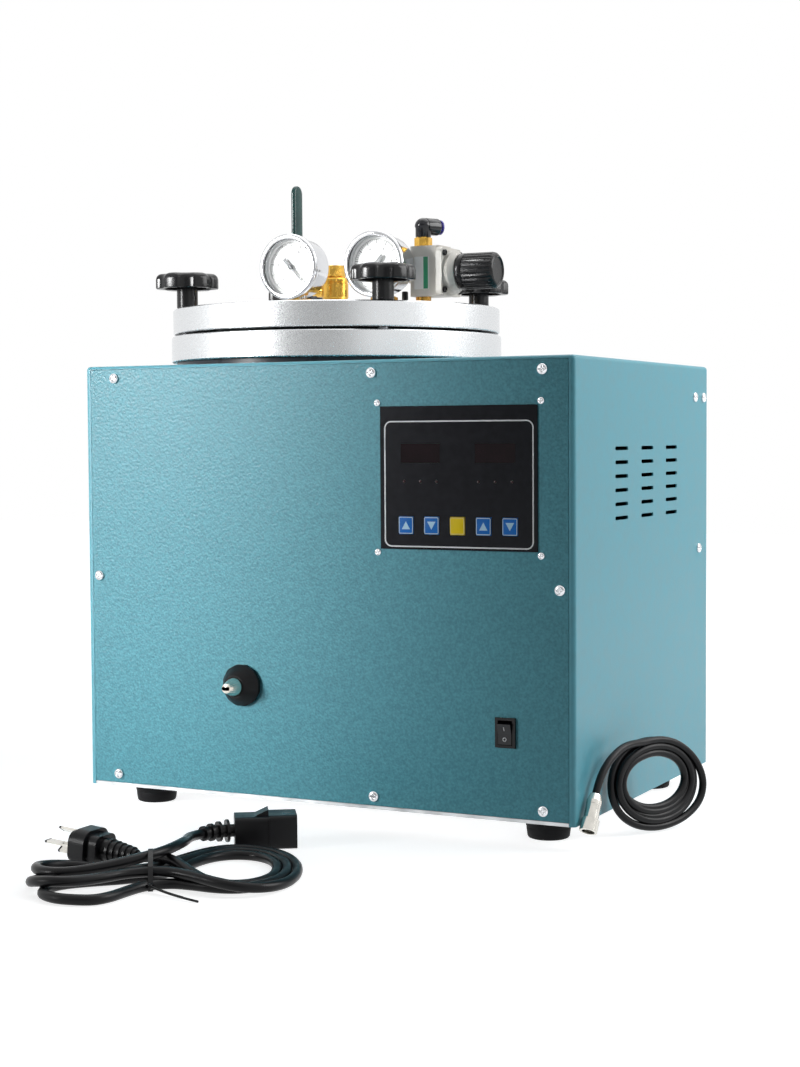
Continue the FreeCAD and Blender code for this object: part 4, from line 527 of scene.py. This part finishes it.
bakelite = finish("black_bakelite", (0.007, 0.007, 0.008), 0.2, mottle=0.2, spread=0.06, grain=0.05,
                  grain_size=4.0, specular=0.32)
steel = finish("bright_steel", (0.56, 0.56, 0.58), 0.3, metallic=1.0, mottle=0.1, spread=0.08)
knob_reach = 88.4
for place, to_right, to_rear in (("rear_right", 1, 1), ("rear_left", -1, 1),
                                 ("front_left", -1, -1), ("front_right", 1, -1)):
    x, y = pot_x + knob_reach * to_right, pot_y + knob_reach * to_rear
    body = "clamp_knob_" + place
    piece("star_knob_" + place, [star_grip(x, y)], bakelite, body, [body], sharp=30.0)
    piece("stud_" + place, [stud(x, y, 358.5, 395.0)], steel, body, sharp=50.0)

# ------------ gauges
# Two chromed dial gauges stand on hexagonal brass bushes screwed into the lid:
# pressed cases with rolled bezels, white printed dials, grey pointers.


def hex_bar(flats, low, high, inner=0.0, chamfer=1.0):
    """Profile of a chamfered hexagonal bar between two heights, down to an inner radius at both ends."""
    corner = flats / 2.0 / math.cos(math.pi / 6)
    slope = (corner - flats / 2.0) * 1.1
    return [(inner, low), (corner - slope, low), (corner, low + chamfer * 0.6),
            (corner, high - chamfer * 0.6), (corner - slope, high), (inner, high)]


dial_white = finish("white_dial", (0.87, 0.87, 0.86), 0.4, mottle=0.02, mottle_size=8.0)
print_grey = finish("printed_grey", (0.03, 0.028, 0.03), 0.5, mottle=0.1, specular=0.2)
pointer_grey = finish("pointer_grey", (0.13, 0.135, 0.14), 0.4, mottle=0.15, mottle_size=4.0)
crystal = finish("clear_crystal", (0.97, 0.98, 0.98), 0.03, mottle=0.01, spread=0.01)
given(crystal.node_tree.nodes["Principled BSDF"], Transmission_Weight=1.0, IOR=1.06)


def aimed(outline, degrees):
    """Flat outline turned anticlockwise about its origin: (x cos - y sin, x sin + y cos)."""
    outline = np.array(outline, float)
    turn = math.radians(degrees)
    return np.stack([outline[:, 0] * math.cos(turn) - outline[:, 1] * math.sin(turn),
                     outline[:, 0] * math.sin(turn) + outline[:, 1] * math.cos(turn)], -1)


def plate(outline, place, way, thick):
    """Thin plate of a flat outline, given as (sideways, upwards) points, its back at the place."""
    side, up, onwards = directions(way)
    outline = np.array(outline, float)
    back = np.array(place, float) + outline[:, :1] * side + outline[:, 1:] * up
    return skin(np.array([back, back + thick * onwards]))


def stroke(inner, outer, width):
    """Outline of a straight mark from one distance to another."""
    return [(inner, -width / 2), (outer, -width / 2), (outer, width / 2), (inner, width / 2)]


def figures(words, size, place, way):
    """Points and faces of a few printed characters, centred on a place and facing the given way."""
    data = bpy.data.curves.new("figures", "FONT")
    data.body = words
    data.size = size
    data.align_x = data.align_y = "CENTER"
    data.resolution_u = 3
    holder = placed("figures", data)
    bpy.context.view_layer.update()
    flat = bpy.data.meshes.new_from_object(holder.evaluated_get(bpy.context.evaluated_depsgraph_get()))
    side, up, onwards = directions(way)
    points = np.array([vertex.co[:] for vertex in flat.vertices])
    faces = [list(face.vertices) for face in flat.polygons]
    bpy.data.objects.remove(holder)
    bpy.data.curves.remove(data)
    bpy.data.meshes.remove(flat)
    return np.array(place, float) + points[:, :1] * side + points[:, 1:2] * up + 0.04 * onwards, faces


case = [(22.4, 0.3), (23.2, 0.0), (24.6, 0.0), (25.8, 0.5), (26.4, 1.4), (26.5, 2.2), (26.5, 5.0),
        (26.2, 5.7), (25.4, 6.0), (23.9, 6.0), (23.6, 6.3), (23.6, 26.0), (23.2, 27.4), (22.2, 28.5),
        (20.8, 29.0), (6.0, 29.0), (4.0, 13.0), (4.0, 10.0), (19.4, 27.0), (19.4, 8.8), (22.4, 8.8),
        (22.4, 2.7), (24.5, 2.7), (24.5, 1.2), (22.4, 1.2)]
boss = [(0.8, -8.0), (0.8, -1.0), (2.0, -0.9), (2.2, -0.6), (2.2, 0.6), (1.7, 1.0), (0.8, 1.15)]
blunt_end = [(-9.0, -1.5), (-2.0, -1.5), (-2.0, 1.5), (-9.0, 1.5)]
long_end = [(-2.5, -0.7), (7.0, -0.75), (16.5, -0.12), (16.5, 0.12), (7.0, 0.75), (-2.5, 0.7)]
gauge_height, shank_back, scale_start, mark_step = 428.0, 20.5, 225.0, 5.4
for name, x, y, rest, words in (("vacuum", -84.3, -45.0, -48.0, ("-100", "-80", "-60", "-40", "-20", "0")),
                                ("pressure", -12.1, -35.0, 228.0, ("0", "2", "4", "6", "8", "10"))):
    centre = (x, y, gauge_height)
    shank = turned([(4.5, 394.0), (4.5, 403.0), (5.5, 403.2), (5.5, 406.5)], (x, y + shank_back, 0.0), UP)
    piece(name + "_case", [ring(case, centre, BACK, around=128), shank],
          chrome, "lid", [name + "_gauge_case"], sharp=40.0)
    dial = ring([(0.9, 8.8), (22.3, 8.8), (22.3, 8.0), (0.9, 8.0)], centre, BACK, around=96)
    piece(name + "_dial_plate", [dial], dial_white, "lid", [name + "_gauge_dial"])
    face = (x, y + 7.98, gauge_height)
    marks = []
    for k in range(51):
        inner, width = (17.6, 0.26) if k % 5 else (16.4, 0.48)
        marks.append(plate(aimed(stroke(inner, 19.6, width), scale_start - mark_step * k), face, FRONT, 0.04))
    marks.append(ring([(19.7, 0.0), (19.7, 0.05), (19.95, 0.05), (19.95, 0.0)], face, FRONT, around=96))
    for k, word in enumerate(words):
        spot = aimed([(13.4, 0.0)], scale_start - 10 * mark_step * k)[0]
        marks.append(figures(word, 3.4, (x + spot[0], y + 7.98, gauge_height + spot[1]), FRONT))
    piece(name + "_scale", marks, print_grey, "lid", sharp=60.0)
    foot_of_dial = (x, y + 8.0, gauge_height - 16.5)
    stop_pin = turned([(0.7, 0.0), (0.7, 0.8), (0.4, 1.0)], foot_of_dial, FRONT, around=16)
    piece(name + "_stop_pin", [stop_pin], steel, "lid")
    plane = (x, y + 6.0, gauge_height)
    piece(name + "_pointer",
          [plate(aimed(blunt_end, rest), plane, FRONT, 0.5), plate(aimed(long_end, rest), plane, FRONT, 0.45),
           turned(boss, plane, FRONT)],
          pointer_grey, name + "_needle", [name + "_gauge_needle"], sharp=30.0)
    dress(crystal, name + "_gauge_glass")
    nodes[name + "_gauge_glass"].visible_shadow = False

lid_top = 382.5
bush = [(4.6, 0.0), (6.5, 0.0), (6.5, 11.9)] + hex_bar(19.0, 12.0, 20.5, 4.6)[1:]
piece("hex_bushes",
      [ring(bush, (x, y + shank_back, lid_top), UP, np.maximum(flat_sides(6, 19.0), 6.5))
       for x, y in ((-84.3, -45.0), (-12.1, -35.0))],
      brass, "lid", ["gauge_bushes"], sharp=25.0)

# ------------ vent and relief valves
# An upright brass ball valve lets the pressure out of the pot.  Its flat steel
# lever wears a dark green dipped vinyl sleeve.  A slim black post beside it is
# the relief valve.
valve = (-73.0, 15.0, 0.0)
stem = (-73.0, 15.0, 413.5)
hub = (-109.0, 15.0, 413.5)
valve_hex = flat_sides(6, 16.0)
spigot = [(4.0, lid_top), (6.0, lid_top), (6.5, 383.2), (6.5, 394.6), (4.0, 394.6)]
chest = [(4.0, 404.0), (8.2, 404.0), (10.2, 404.9), (11.0, 406.4), (11.0, 417.6), (10.5, 418.0),
         (10.5, 418.6), (11.0, 419.0), (11.0, 420.9), (10.2, 422.2), (8.2, 423.0), (4.0, 423.0)]
gland = [(3.05, 5.5), (6.5, 5.5), (6.5, 16.0), (6.0, 16.6), (5.2, 17.0), (5.2, 20.6), (4.8, 21.0),
         (3.05, 21.0)]
piece("ball_valve_body",
      [ring(spigot, valve, UP), ring(hex_bar(16.0, 394.5, 404.0, 4.0), valve, UP, valve_hex),
       ring(chest, valve, UP, around=72), ring(hex_bar(16.0, 423.0, 432.5, 5.75), valve, UP, valve_hex),
       ring(gland, stem, LEFT)],
      brass, "lid", ["vent_valve_body"], sharp=25.0)
curve = np.radians(np.linspace(-57.0, 57.0, 15))
ball = [(4.0, -6.2)] + [(7.4 * math.cos(a), 7.4 * math.sin(a)) for a in curve] + [(4.0, 6.2)]
lever = [(0.2, 0.0), (0.0, 0.2), (0.0, 2.2), (0.2, 2.4)]
piece("valve_ball_and_lever",
      [ring(ball, stem, UP), turned([(3.0, 4.5), (3.0, 39.4), (2.6, 39.8)], stem, LEFT),
       rounded_bar(12.0, 92.0, 5.8, lever, (-107.8, 15.0, 452.5), LEFT),
       turned(hex_bar(10.0, 1.2, 5.2, 0.0, 0.6), hub, LEFT, flat_sides(6, 10.0))],
      steel, "vent_lever", ["vent_lever"], sharp=30.0)
vinyl = finish("dipped_vinyl", (0.006, 0.052, 0.048), 0.24, mottle=0.15, grain=0.1, grain_size=6.0,
               specular=0.35)
sleeve = [(2.4, -0.35), (1.1, -0.1), (0.3, 0.4), (0.0, 1.2), (0.0, 2.4), (0.3, 3.2), (1.1, 3.7), (2.4, 3.95)]
piece("lever_sleeve", [rounded_bar(14.0, 61.0, 6.9, sleeve, (-107.2, 15.0, 470.0), LEFT, steps=12)],
      vinyl, "vent_lever", sharp=60.0)
post = [(2.6, lid_top), (2.6, 397.0), (2.2, 397.3), (2.2, 398.0), (2.6, 398.3), (2.6, 408.0), (2.2, 408.8),
        (1.2, 409.0)]
blackened = finish("blackened_metal", (0.01, 0.01, 0.011), 0.3, metallic=0.3, mottle=0.2, specular=0.3)
piece("relief_post", [turned(post, (-8.2, 15.0, 0.0), UP, around=32)], blackened, "lid", ["relief_valve"])

# ------------ pressure regulator and air elbow
# A die-cast and painted body on a brass nipple, a ribbed black knob on its
# bonnet, and a black push-in elbow whose violet blue ring lets the hose go.
cast_paint = finish("regulator_paint", (0.68, 0.66, 0.61), 0.36, grain=0.2, mottle=0.06, spread=0.06)
finer("regulator_casting", "regulator_body", cast_paint, "lid", 0.7)
label_white = finish("label_white", (0.82, 0.83, 0.82), 0.35, mottle=0.02)
label_green = finish("label_green", (0.015, 0.30, 0.14), 0.35, mottle=0.06)
piece("regulator_label",
      [rounded_bar(13.0, 26.0, 0.8, [(0.0, -0.1), (0.0, 0.12)], (17.0, -5.5, 421.5), FRONT)],
      label_white, "lid")
piece("label_stripe", [rounded_bar(4.0, 25.4, 0.3, [(0.0, 0.0), (0.0, 0.16)], (20.6, -5.5, 421.5), FRONT)],
      label_green, "lid")
regulator_x, regulator_y, bonnet_height, elbow_height = 12.5, 7.0, 422.0, 459.7
# The bonnet screws are real parts. Colouring them black all over is painted shade for the dark in their
# recesses.
socket_head = [(2.4, -0.5), (2.4, 1.9), (2.0, 2.3), (1.25, 2.3), (1.25, 0.9)]
piece("bonnet_screws",
      [turned(socket_head, (37.5, regulator_y + y, bonnet_height + z), RIGHT, around=24)
       for y in (-14.6, 14.6) for z in (-14.6, 14.6)],
      moulding, "lid", sharp=40.0)
ribs = 14.5 - 0.85 * (0.5 + 0.5 * np.cos(24 * steps_round(192))) ** 2
knob = (46.5, regulator_y, bonnet_height)
lock_ring = [(9.1, 0.0), (13.6, 0.0), (14.3, 0.5), (14.5, 1.2), (14.5, 4.0), (14.1, 4.7), (9.1, 4.7)]
ribbed = [(9.1, 4.4), (13.5, 4.4), (14.5, 5.6), (14.5, 28.0), (13.9, 29.9), (12.6, 31.2), (11.6, 31.9),
          (11.0, 32.0), (10.4, 31.6), (10.0, 31.0), (6.0, 30.9)]
piece("regulator_grip", [ring(lock_ring, knob, RIGHT, around=96), turned(ribbed, knob, RIGHT, ribs, 192)],
      moulding, "regulator_knob", ["regulator_knob"])
nipple_brass = finish("aged_brass", (0.50, 0.28, 0.06), 0.3, metallic=1.0, mottle=0.2, mottle_size=4.0,
                      spread=0.08)
regulator = (regulator_x, regulator_y, 0.0)
nipple = [(3.0, lid_top), (5.7, lid_top), (6.2, 383.2), (6.2, 396.5), (5.8, 396.9), (6.2, 397.3),
          (6.2, 410.5), (3.0, 410.5)]
piece("regulator_nipple", [ring(nipple, regulator, UP)],
      nipple_brass, "lid", ["regulator_fittings"], sharp=25.0)
piece("elbow_bush",
      [ring(hex_bar(12.5, 443.0, 450.8, 4.1, 0.8), regulator, UP, flat_sides(6, 12.5)),
       ring([(4.1, 435.0), (5.6, 435.0), (5.6, 443.1), (4.1, 443.1)], regulator, UP)],
      brass, "lid", sharp=25.0)
dome = [(6.9 * math.cos(a), elbow_height + 6.9 * math.sin(a)) for a in np.radians(np.linspace(0, 86, 11))]
HEADING = (0.5, 0.8660254, 0.0)
elbow = (regulator_x, regulator_y, elbow_height)
glossy = finish("glossy_black", (0.008, 0.009, 0.012), 0.13, mottle=0.15, spread=0.04, specular=0.4)
upright = [(4.0, 441.1), (4.0, 451.1), (6.0, 451.1), (6.3, 451.5), (6.3, 458.4)] + dome
branch = [(3.1, 2.0), (6.9, 2.0), (6.9, 12.9), (6.6, 13.6), (6.2, 14.0), (5.3, 14.0), (5.3, 8.0), (3.1, 8.0)]
piece("elbow_body", [turned(upright, regulator, UP), ring(branch, elbow, HEADING)],
      glossy, "push_elbow", ["push_elbow"], sharp=40.0)
release = [(3.1, 9.6), (5.2, 9.6), (5.2, 15.2), (5.8, 15.4), (6.0, 15.8), (6.0, 16.6), (5.7, 17.0),
           (3.8, 17.0), (3.1, 16.4)]
piece("hose_release_ring", [ring(release, elbow, HEADING)],
      finish("ring_blue", (0.06, 0.045, 0.40), 0.3, coat=0.3, mottle=0.1), "release_ring", ["release_ring"])

# ------------ controller
# A printed black overlay on the front panel with two dark red windows, lamps
# and five moulded keys; its board hangs behind on four screws.
overlay_black = finish("overlay_black", (0.0045, 0.0055, 0.009), 0.24, grain=0.05, grain_size=0.5,
                       mottle=0.12, mottle_size=5.0, spread=0.03, specular=0.15)
dress(overlay_black, "controller_overlay")
window_red = finish("window_red", (0.010, 0.0025, 0.005), 0.08, mottle=0.3, spread=0.03, specular=0.25)
dress(window_red, "display_windows")
dress(finish("board_green", (0.03, 0.2, 0.08), 0.45, mottle=0.2), "control_board")
overlay_face = front_face - 1.0


def printed_frame(width, height, corner, line, place, way, thick):
    """Printed line round a rounded rectangle: its small section carried once round the outline."""
    section = [(0.0, 0.0), (0.0, thick), (line, thick), (line, 0.0)]
    points, _ = rounded_bar(width, height, corner, section, place, way)
    return skin(points[:-2].reshape(len(section), -1, 3), "joined")


print_white = finish("printed_white", (0.80, 0.82, 0.84), 0.4, mottle=0.03)
overlay_edge = printed_frame(117.4, 91.2, 5.5, 1.0, (115.8, overlay_face + 0.02, 256.6), FRONT, 0.06)
piece("overlay_line", [overlay_edge], print_white, "cabinet")
piece("overlay_fixings",
      [pan_screw((x, front_face, z), FRONT, 2.6, 1.7, 1.5, 8.0)
       for x in (51.2, 179.8) for z in (206.8, 315.4)],
      chrome, "cabinet", ["controller_screws"], sharp=40.0)
controller_middle, lamp_row, key_row, key_pitch = 115.5, 258.5, 226.8, 20.45
lamp_lens = finish("unlit_lamp", (0.030, 0.007, 0.010), 0.15, mottle=0.2, specular=0.3)
lens = [(1.2, -0.6), (1.2, 0.05), (1.0, 0.35), (0.55, 0.55)]
piece("lamps",
      [turned(lens, (controller_middle + group + step, overlay_face, lamp_row), FRONT, around=24)
       for group in (-29.4, 29.4) for step in (-13.0, 0.0, 13.0)],
      lamp_lens, "cabinet")

key_blue = finish("key_blue", (0.006, 0.15, 0.55), 0.35, mottle=0.08, mottle_size=9.0, specular=0.2)
key_yellow = finish("key_yellow", (0.88, 0.65, 0.008), 0.35, mottle=0.04, mottle_size=9.0, specular=0.2)
key_print = finish("key_print", (0.42, 0.68, 0.85), 0.35, mottle=0.04)
key_edge = finish("key_edge_print", (0.55, 0.72, 0.82), 0.35, mottle=0.04)
key_cap = [(1.3, 2.0), (0.25, 2.0), (0.0, 1.8), (0.0, -0.3), (0.25, -0.52), (0.8, -0.6)]
triangle = [(-3.3, -2.9), (3.3, -2.9), (0.0, 2.9)]
for number, way_up in enumerate(("left_up", "left_down", "middle", "right_up", "right_down")):
    x = controller_middle + (number - 2) * key_pitch
    body = "key_" + way_up
    seat = (x, front_face + 0.05, key_row)
    cap = rounded_bar(11.8, 12.6, 1.3, key_cap, (x, overlay_face, key_row), BACK)
    rim = rounded_bar(13.8, 14.6, 1.0, [(0.1, 0.0), (0.1, 0.7)], seat, BACK)
    plunger = turned([(2.0, 0.5), (2.0, 7.4)], seat, BACK, around=20)
    piece(body + "_cap", [cap, rim, plunger], key_yellow if way_up == "middle" else key_blue, body, [body])
    face = (x, overlay_face - 0.59, key_row)
    frame_line = printed_frame(11.3, 12.1, 1.1, 0.55, face, FRONT, 0.03)
    if way_up == "middle":
        yellow_edge = finish("key_yellow_edge", (0.82, 0.66, 0.25), 0.35, mottle=0.04)
        piece(body + "_edge", [frame_line], yellow_edge, body)
    else:
        piece(body + "_edge", [frame_line], key_edge, body)
        mark = triangle if way_up.endswith("up") else aimed(triangle, 180.0)
        piece(body + "_arrow", [plate(mark, face, FRONT, 0.03)], key_print, body)

# ------------ mains switch
# A snap-in rocker: bezel and housing in one, the rocker pivoted on two pins,
# marked with a stroke for on and a ring for off.
finer("switch_bezel", "rocker_bezel", moulding, "cabinet", 0.5)
finer("switch_rocker", "rocker", glossy, "rocker", 0.4)


def on_rocker(points, rise, lean):
    """A flat mark drawn round its own middle: leaned back to the half face it lies on, raised to that face,
    and then turned with the rocker by its ten degrees and set on its pins."""
    face_depth, rocker_tilt, pins = 4.33, 10.0, (152.3, -149.0, 80.6)
    leaned = aimed(points[:, 1:], lean) + (-face_depth, rise)
    return np.hstack([points[:, :1], aimed(leaned, rocker_tilt)]) + pins


# the stroke is drawn lying, and swapping its sides stands it up
stroke_points, stroke_faces = plate(stroke(-1.5, 1.5, 0.5), (0, 0, 0), FRONT, 0.05)
ring_section = [(1.0, 0.0), (1.0, 0.05), (1.45, 0.05), (1.45, 0.0)]
ring_points, ring_faces = ring(ring_section, (0, 0, 0), FRONT, around=40)
piece("switch_marks",
      [(on_rocker(stroke_points[:, [2, 1, 0]], 3.9, 10.0), stroke_faces),
       (on_rocker(ring_points, -3.9, -10.0), ring_faces)],
      print_white, "rocker", sharp=60.0)

# ------------ rear fittings
# Snap-in mains inlet with three brass blades, nickelled pedal socket and a
# brass barb for the vacuum hose.
finer("mains_inlet_shell", "mains_inlet", moulding, "cabinet", 0.4)
nickel = finish("nickel_plate", (0.68, 0.66, 0.61), 0.2, metallic=1.0, mottle=0.08, mottle_size=5.0,
                spread=0.07)
finer("pedal_socket_shell", "pedal_socket", nickel, "cabinet", 0.3)
finer("vacuum_barb", "vacuum_port", brass, "cabinet", 0.25)
inlet_x, inlet_z = 142.8, 77.0
contact = [(0.4, 0.0), (0.0, 0.5), (0.0, 12.0)]
piece("inlet_blades",
      [rounded_bar(2.04, 4.04, 0.4, contact, (inlet_x + x, rear_face + 0.04, inlet_z + z), FRONT)
       for x, z in ((-7.0, -2.0), (0.0, 2.0), (7.0, -2.0))],
      brass, "cabinet")

# ------------ mains lead
# A moulded black lead, folded to a hank and held by a twisted tie, with a plug
# of three flat nickelled blades at one end and an appliance connector at the other.
rubber = finish("cord_sheath", (0.0055, 0.0055, 0.0065), 0.34, mottle=0.25, spread=0.08, specular=0.22)
dress(rubber, "mains_plug", "mains_connector")
dress(nickel, "aviation_plug")


def cord_curve(name, points, diameter, material):
    """Smooth round cord: a NURBS line of order three through metre points."""
    data = bpy.data.curves.new(name, "CURVE")
    data.dimensions = "3D"
    data.resolution_u = 8
    data.bevel_depth = diameter / 2.0
    data.bevel_resolution = 4
    data.use_fill_caps = True
    line = data.splines.new("NURBS")
    line.points.add(len(points) - 1)
    line.points.foreach_set("co", np.column_stack([points, np.ones(len(points))]).ravel())
    line.order_u = 3
    line.use_endpoint_u = True
    cord = placed(name, data)
    data.materials.append(material)
    return cord


hank_turn = math.radians(33.6)
hank_middle = np.array([-22.0, -345.0, 0.0])
across = np.array([math.cos(hank_turn), math.sin(hank_turn), 0.0])
away = np.array([-math.sin(hank_turn), math.cos(hank_turn), 0.0])


def hank_place(place):
    """Millimetres across, away and up in the hank, as millimetres in the machine's frame."""
    a, w, z = place
    return hank_middle + across * a + away * w + np.array([0.0, 0.0, z])


# across, away and up, from the plug through three turns each side of the tie to the connector
route = [
    (-6.6, 24.8, 9.5), (0, 20.4, 9.2), (10.6, 6.1, 13), (20.4, -9.8, 12.3), (29.4, -25.7, 8.7),
    (39.1, -38.1, 5.7), (51.3, -44.4, 4), (64.6, -43.4, 3.6), (75.9, -34.8, 3.6), (83.1, -20.7, 3.6),
    (86.2, -3.9, 3.6), (86.8, 13.8, 3.6), (82.4, 30.8, 3.6), (71.7, 43.6, 3.6), (56.4, 47.6, 3.6),
    (41.3, 39.5, 3.6), (28.3, 20.3, 3.6), (13.7, -3.4, 3.6), (-10.8, -15.3, 3.6), (-34, -18.8, 3.6),
    (-51.8, -23.6, 3.7), (-62.1, -32.8, 3.6), (-65.5, -44.9, 3.6), (-62.8, -53.6, 3.6), (-55.1, -62.7, 3.6),
    (-44.1, -67.7, 3.6), (-32, -70.5, 3.6), (-21.3, -63.1, 3.6), (-12.3, -50.1, 3.6), (-1.1, -36, 3.6),
    (15.4, -31.3, 3.6), (30.4, -39.3, 3.6), (44.6, -49.3, 3.6), (59.6, -53, 3.6), (74.4, -46.8, 3.6),
    (86.2, -31.5, 3.6), (92.9, -9.9, 3.6), (93.4, 14.1, 3.6), (87.4, 36, 3.6), (75.1, 51.8, 3.6),
    (58.8, 57.6, 3.6), (41.8, 50.4, 4.1), (26.8, 29.7, 5.1), (11.4, 3.2, 6.8), (-9.4, -8.8, 7.8),
    (-25.4, -6.7, 6.6), (-38.1, -1, 4.9), (-50, 1.5, 3.9), (-61.5, -1.4, 3.6), (-70.5, -10, 3.6),
    (-74.4, -22.9, 5.6), (-71.2, -37, 9.1), (-61.1, -47.5, 11.1), (-46, -49.9, 11), (-28.9, -41.8, 10.7),
    (-9.7, -28, 10.7), (12.1, -27.6, 10.8), (29.8, -41.7, 10.3), (45.7, -56.6, 8.5), (62.1, -62.6, 6.4),
    (77.8, -57.3, 4.7), (90.3, -42.5, 3.8), (98.1, -21, 3.6), (100.8, 3.8, 3.6), (97.3, 28.4, 3.6),
    (87.9, 48.9, 3.6), (73.9, 62.1, 3.6), (57.8, 65.9, 3.6), (41.5, 58.6, 3.6), (25.6, 41, 3.6),
    (9.7, 19.2, 3.6), (-7.4, 8.1, 3.6), (-22.1, 10.6, 3.6), (-33.3, 18.4, 3.8), (-44.8, 22.8, 4.8),
    (-56.5, 20.9, 6.3), (-66.2, 13.6, 8.1), (-71.5, 2.7, 9.7), (-71.5, -9.4, 10.9), (-65.8, -20.4, 11.2),
    (-54.1, -27.6, 11.6), (-36.1, -27.9, 13.2), (-12.7, -20.6, 16.2), (9.8, -8.8, 18.9), (21.6, 11.9, 19.4),
    (26.7, 39.9, 16.1), (29, 71.8, 12), (38.5, 79.8, 12)]
mains_lead = cord_curve("mains_lead", np.array([hank_place(p) for p in route]) / 1000.0, 0.007, rubber)
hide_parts("mains_hank")
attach(mains_lead, "cabinet")

plug_slope = math.radians(5.0)
plug_front = np.array([-89.0, -328.0, 13.72])
OUTWARDS = (-math.cos(plug_slope), 0.0, math.sin(plug_slope))


def blade(away_from_middle, up_from_middle, turn, length, width=6.39, thickness=1.64):
    """Flat blade with a narrowed end: its oblong outline, turned about the plug's line, at four distances."""
    side, up, onwards = directions(OUTWARDS)
    corners = np.array([(-0.5, -0.5), (0.5, -0.5), (0.5, 0.5), (-0.5, 0.5)]) * (width, thickness)
    rings = []
    for distance, wide, thick in ((0.0, 1.0, 1.0), (length - 1.6, 1.0, 1.0), (length - 0.4, 0.84, 0.7),
                                  (length + 0.02, 0.78, 0.4)):
        flat = aimed(corners * (wide, thick), -turn) + (-away_from_middle, up_from_middle)
        rings.append(plug_front + flat[:, :1] * side + flat[:, 1:] * up + distance * onwards)
    return skin(np.array(rings))


three_blades = [blade(3.96, 6.86, -30.0, 18.0), blade(3.96, -6.86, 30.0, 18.0), blade(-7.0, 0.0, 0.0, 21.0)]
plug_blades = piece("plug_blades", three_blades, nickel, "cabinet", sharp=30.0)

# the strands under the tie, as away and up in the hank, and the reach of the tie's two faces from them
strands = np.array([(-35.4, 3.6), (-27.8, 10.8), (-12.9, 17.9), (-8.5, 3.6), (-0.9, 7.2), (15.3, 3.6)])
inner_reach, outer_reach, off_the_table = 3.5, 4.6, 0.1


def tie_band(reach, along):
    """Line round the bundle: for each direction, the furthest strand's middle plus the reach that way."""
    turn = steps_round(96)
    ray = np.stack([np.cos(turn), np.sin(turn)], -1)
    line = strands[np.argmax(ray @ strands.T, axis=1)] + ray * reach
    line[:, 1] = np.maximum(line[:, 1], outer_reach + off_the_table - reach)
    return hank_middle + along * across + line[:, :1] * away + line[:, 1:] * UP


knot = (3.0, -40.0, 4.0)


def tail(bend, end, radius=0.8):
    """Thin round tail on a parabola through hank places: (1-t)^2 knot + 2t(1-t) bend + t^2 end."""
    t = np.linspace(0, 1, 16)[:, None]
    points = [hank_place(place) for place in (knot, bend, end)]
    line = (1 - t) ** 2 * points[0] + 2 * t * (1 - t) * points[1] + t ** 2 * points[2]
    way = np.gradient(line, axis=0)
    side = np.cross(way, UP)
    side /= np.linalg.norm(side, axis=1)[:, None]
    turn = steps_round(12)[:, None]
    return skin(line[:, None] + radius * (np.cos(turn) * side[:, None] + np.sin(turn) * UP))


edges = ((inner_reach, 1.4), (outer_reach, 1.4), (outer_reach, 4.6), (inner_reach, 4.6))
tie_loop = skin(np.array([tie_band(reach, along) for reach, along in edges]), "joined")
twist = [(0.6, -2.4), (1.9, -1.8), (2.2, 0.0), (1.9, 1.8), (0.6, 2.4)]
loose_ends = [tail((12.0, -50.0, 2.0), (23.5, -60.5, 0.9)), tail((14.0, -60.0, 3.0), (32.8, -72.5, 0.9)),
              turned(twist, hank_place(knot), FRONT, around=16)]
hank_tie = piece("hank_tie", [tie_loop] + loose_ends, rubber, "cabinet", sharp=50.0)

# ------------ signal lead
# Five turns of thinner cable lean on the right wall, held by nothing: the turn
# that carries the round plug is the outermost and stands a little loose.
coil_turn = math.radians(-27.0)
coil_lean = math.radians(8.0)
coil_axis = np.array([math.cos(coil_lean) * math.cos(coil_turn), math.cos(coil_lean) * math.sin(coil_turn),
                      math.sin(coil_lean)])
coil_along = np.array([-math.sin(coil_turn), math.cos(coil_turn), 0.0])
coil_upward = np.cross(coil_axis, coil_along)
coil_middle = np.array([0.2318, -0.057, 0.0353])
# where each turn starts in the bundle and the last one ends: outward, and along the axis, in millimetres
bundle = np.array([(6.0, 3.0), (5.6, -2.9), (0.2, 3.0), (-0.2, -3.0), (-5.6, 2.6), (-5.8, -3.2)])
half_length, half_height, rise_each_turn, steps_each_turn = 37.0, 26.0, 0.55, 16
coil = []
for number in range(len(bundle) - 1):
    for step in range(steps_each_turn):
        part = step / steps_each_turn
        outward, sideways = bundle[number] * (1 - part) + bundle[number + 1] * part
        t = math.radians(105.0 - 360.0 * part)
        slack = 0.0
        if number == 0:
            slack = 6.5 * math.exp(-((part - 0.36) / 0.11) ** 2) + 3.0 * math.exp(-((part - 0.66) / 0.1) ** 2)
        lift = rise_each_turn * (number + part)
        level = (half_length + outward + slack) * math.cos(t) - lift
        height = (half_height + outward + slack * 0.6) * math.sin(t) + lift
        coil.append(coil_middle + (coil_along * level + coil_upward * height + coil_axis * sideways) / 1000.0)
lead = [(0.2117, -0.12816, 0.03724), (0.2120, -0.1236, 0.0446), (0.2135, -0.1150, 0.0545),
        (0.2165, -0.1030, 0.0625), (0.2200, -0.0880, 0.0672)]
signal_cable = finish("cable_sheath", (0.005, 0.005, 0.006), 0.36, mottle=0.25, spread=0.08, specular=0.22)
signal_lead = cord_curve("signal_cable", np.array(lead + coil), 0.0056, signal_cable)
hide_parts("signal_coil", "signal_lead")
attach(signal_lead, "cabinet")
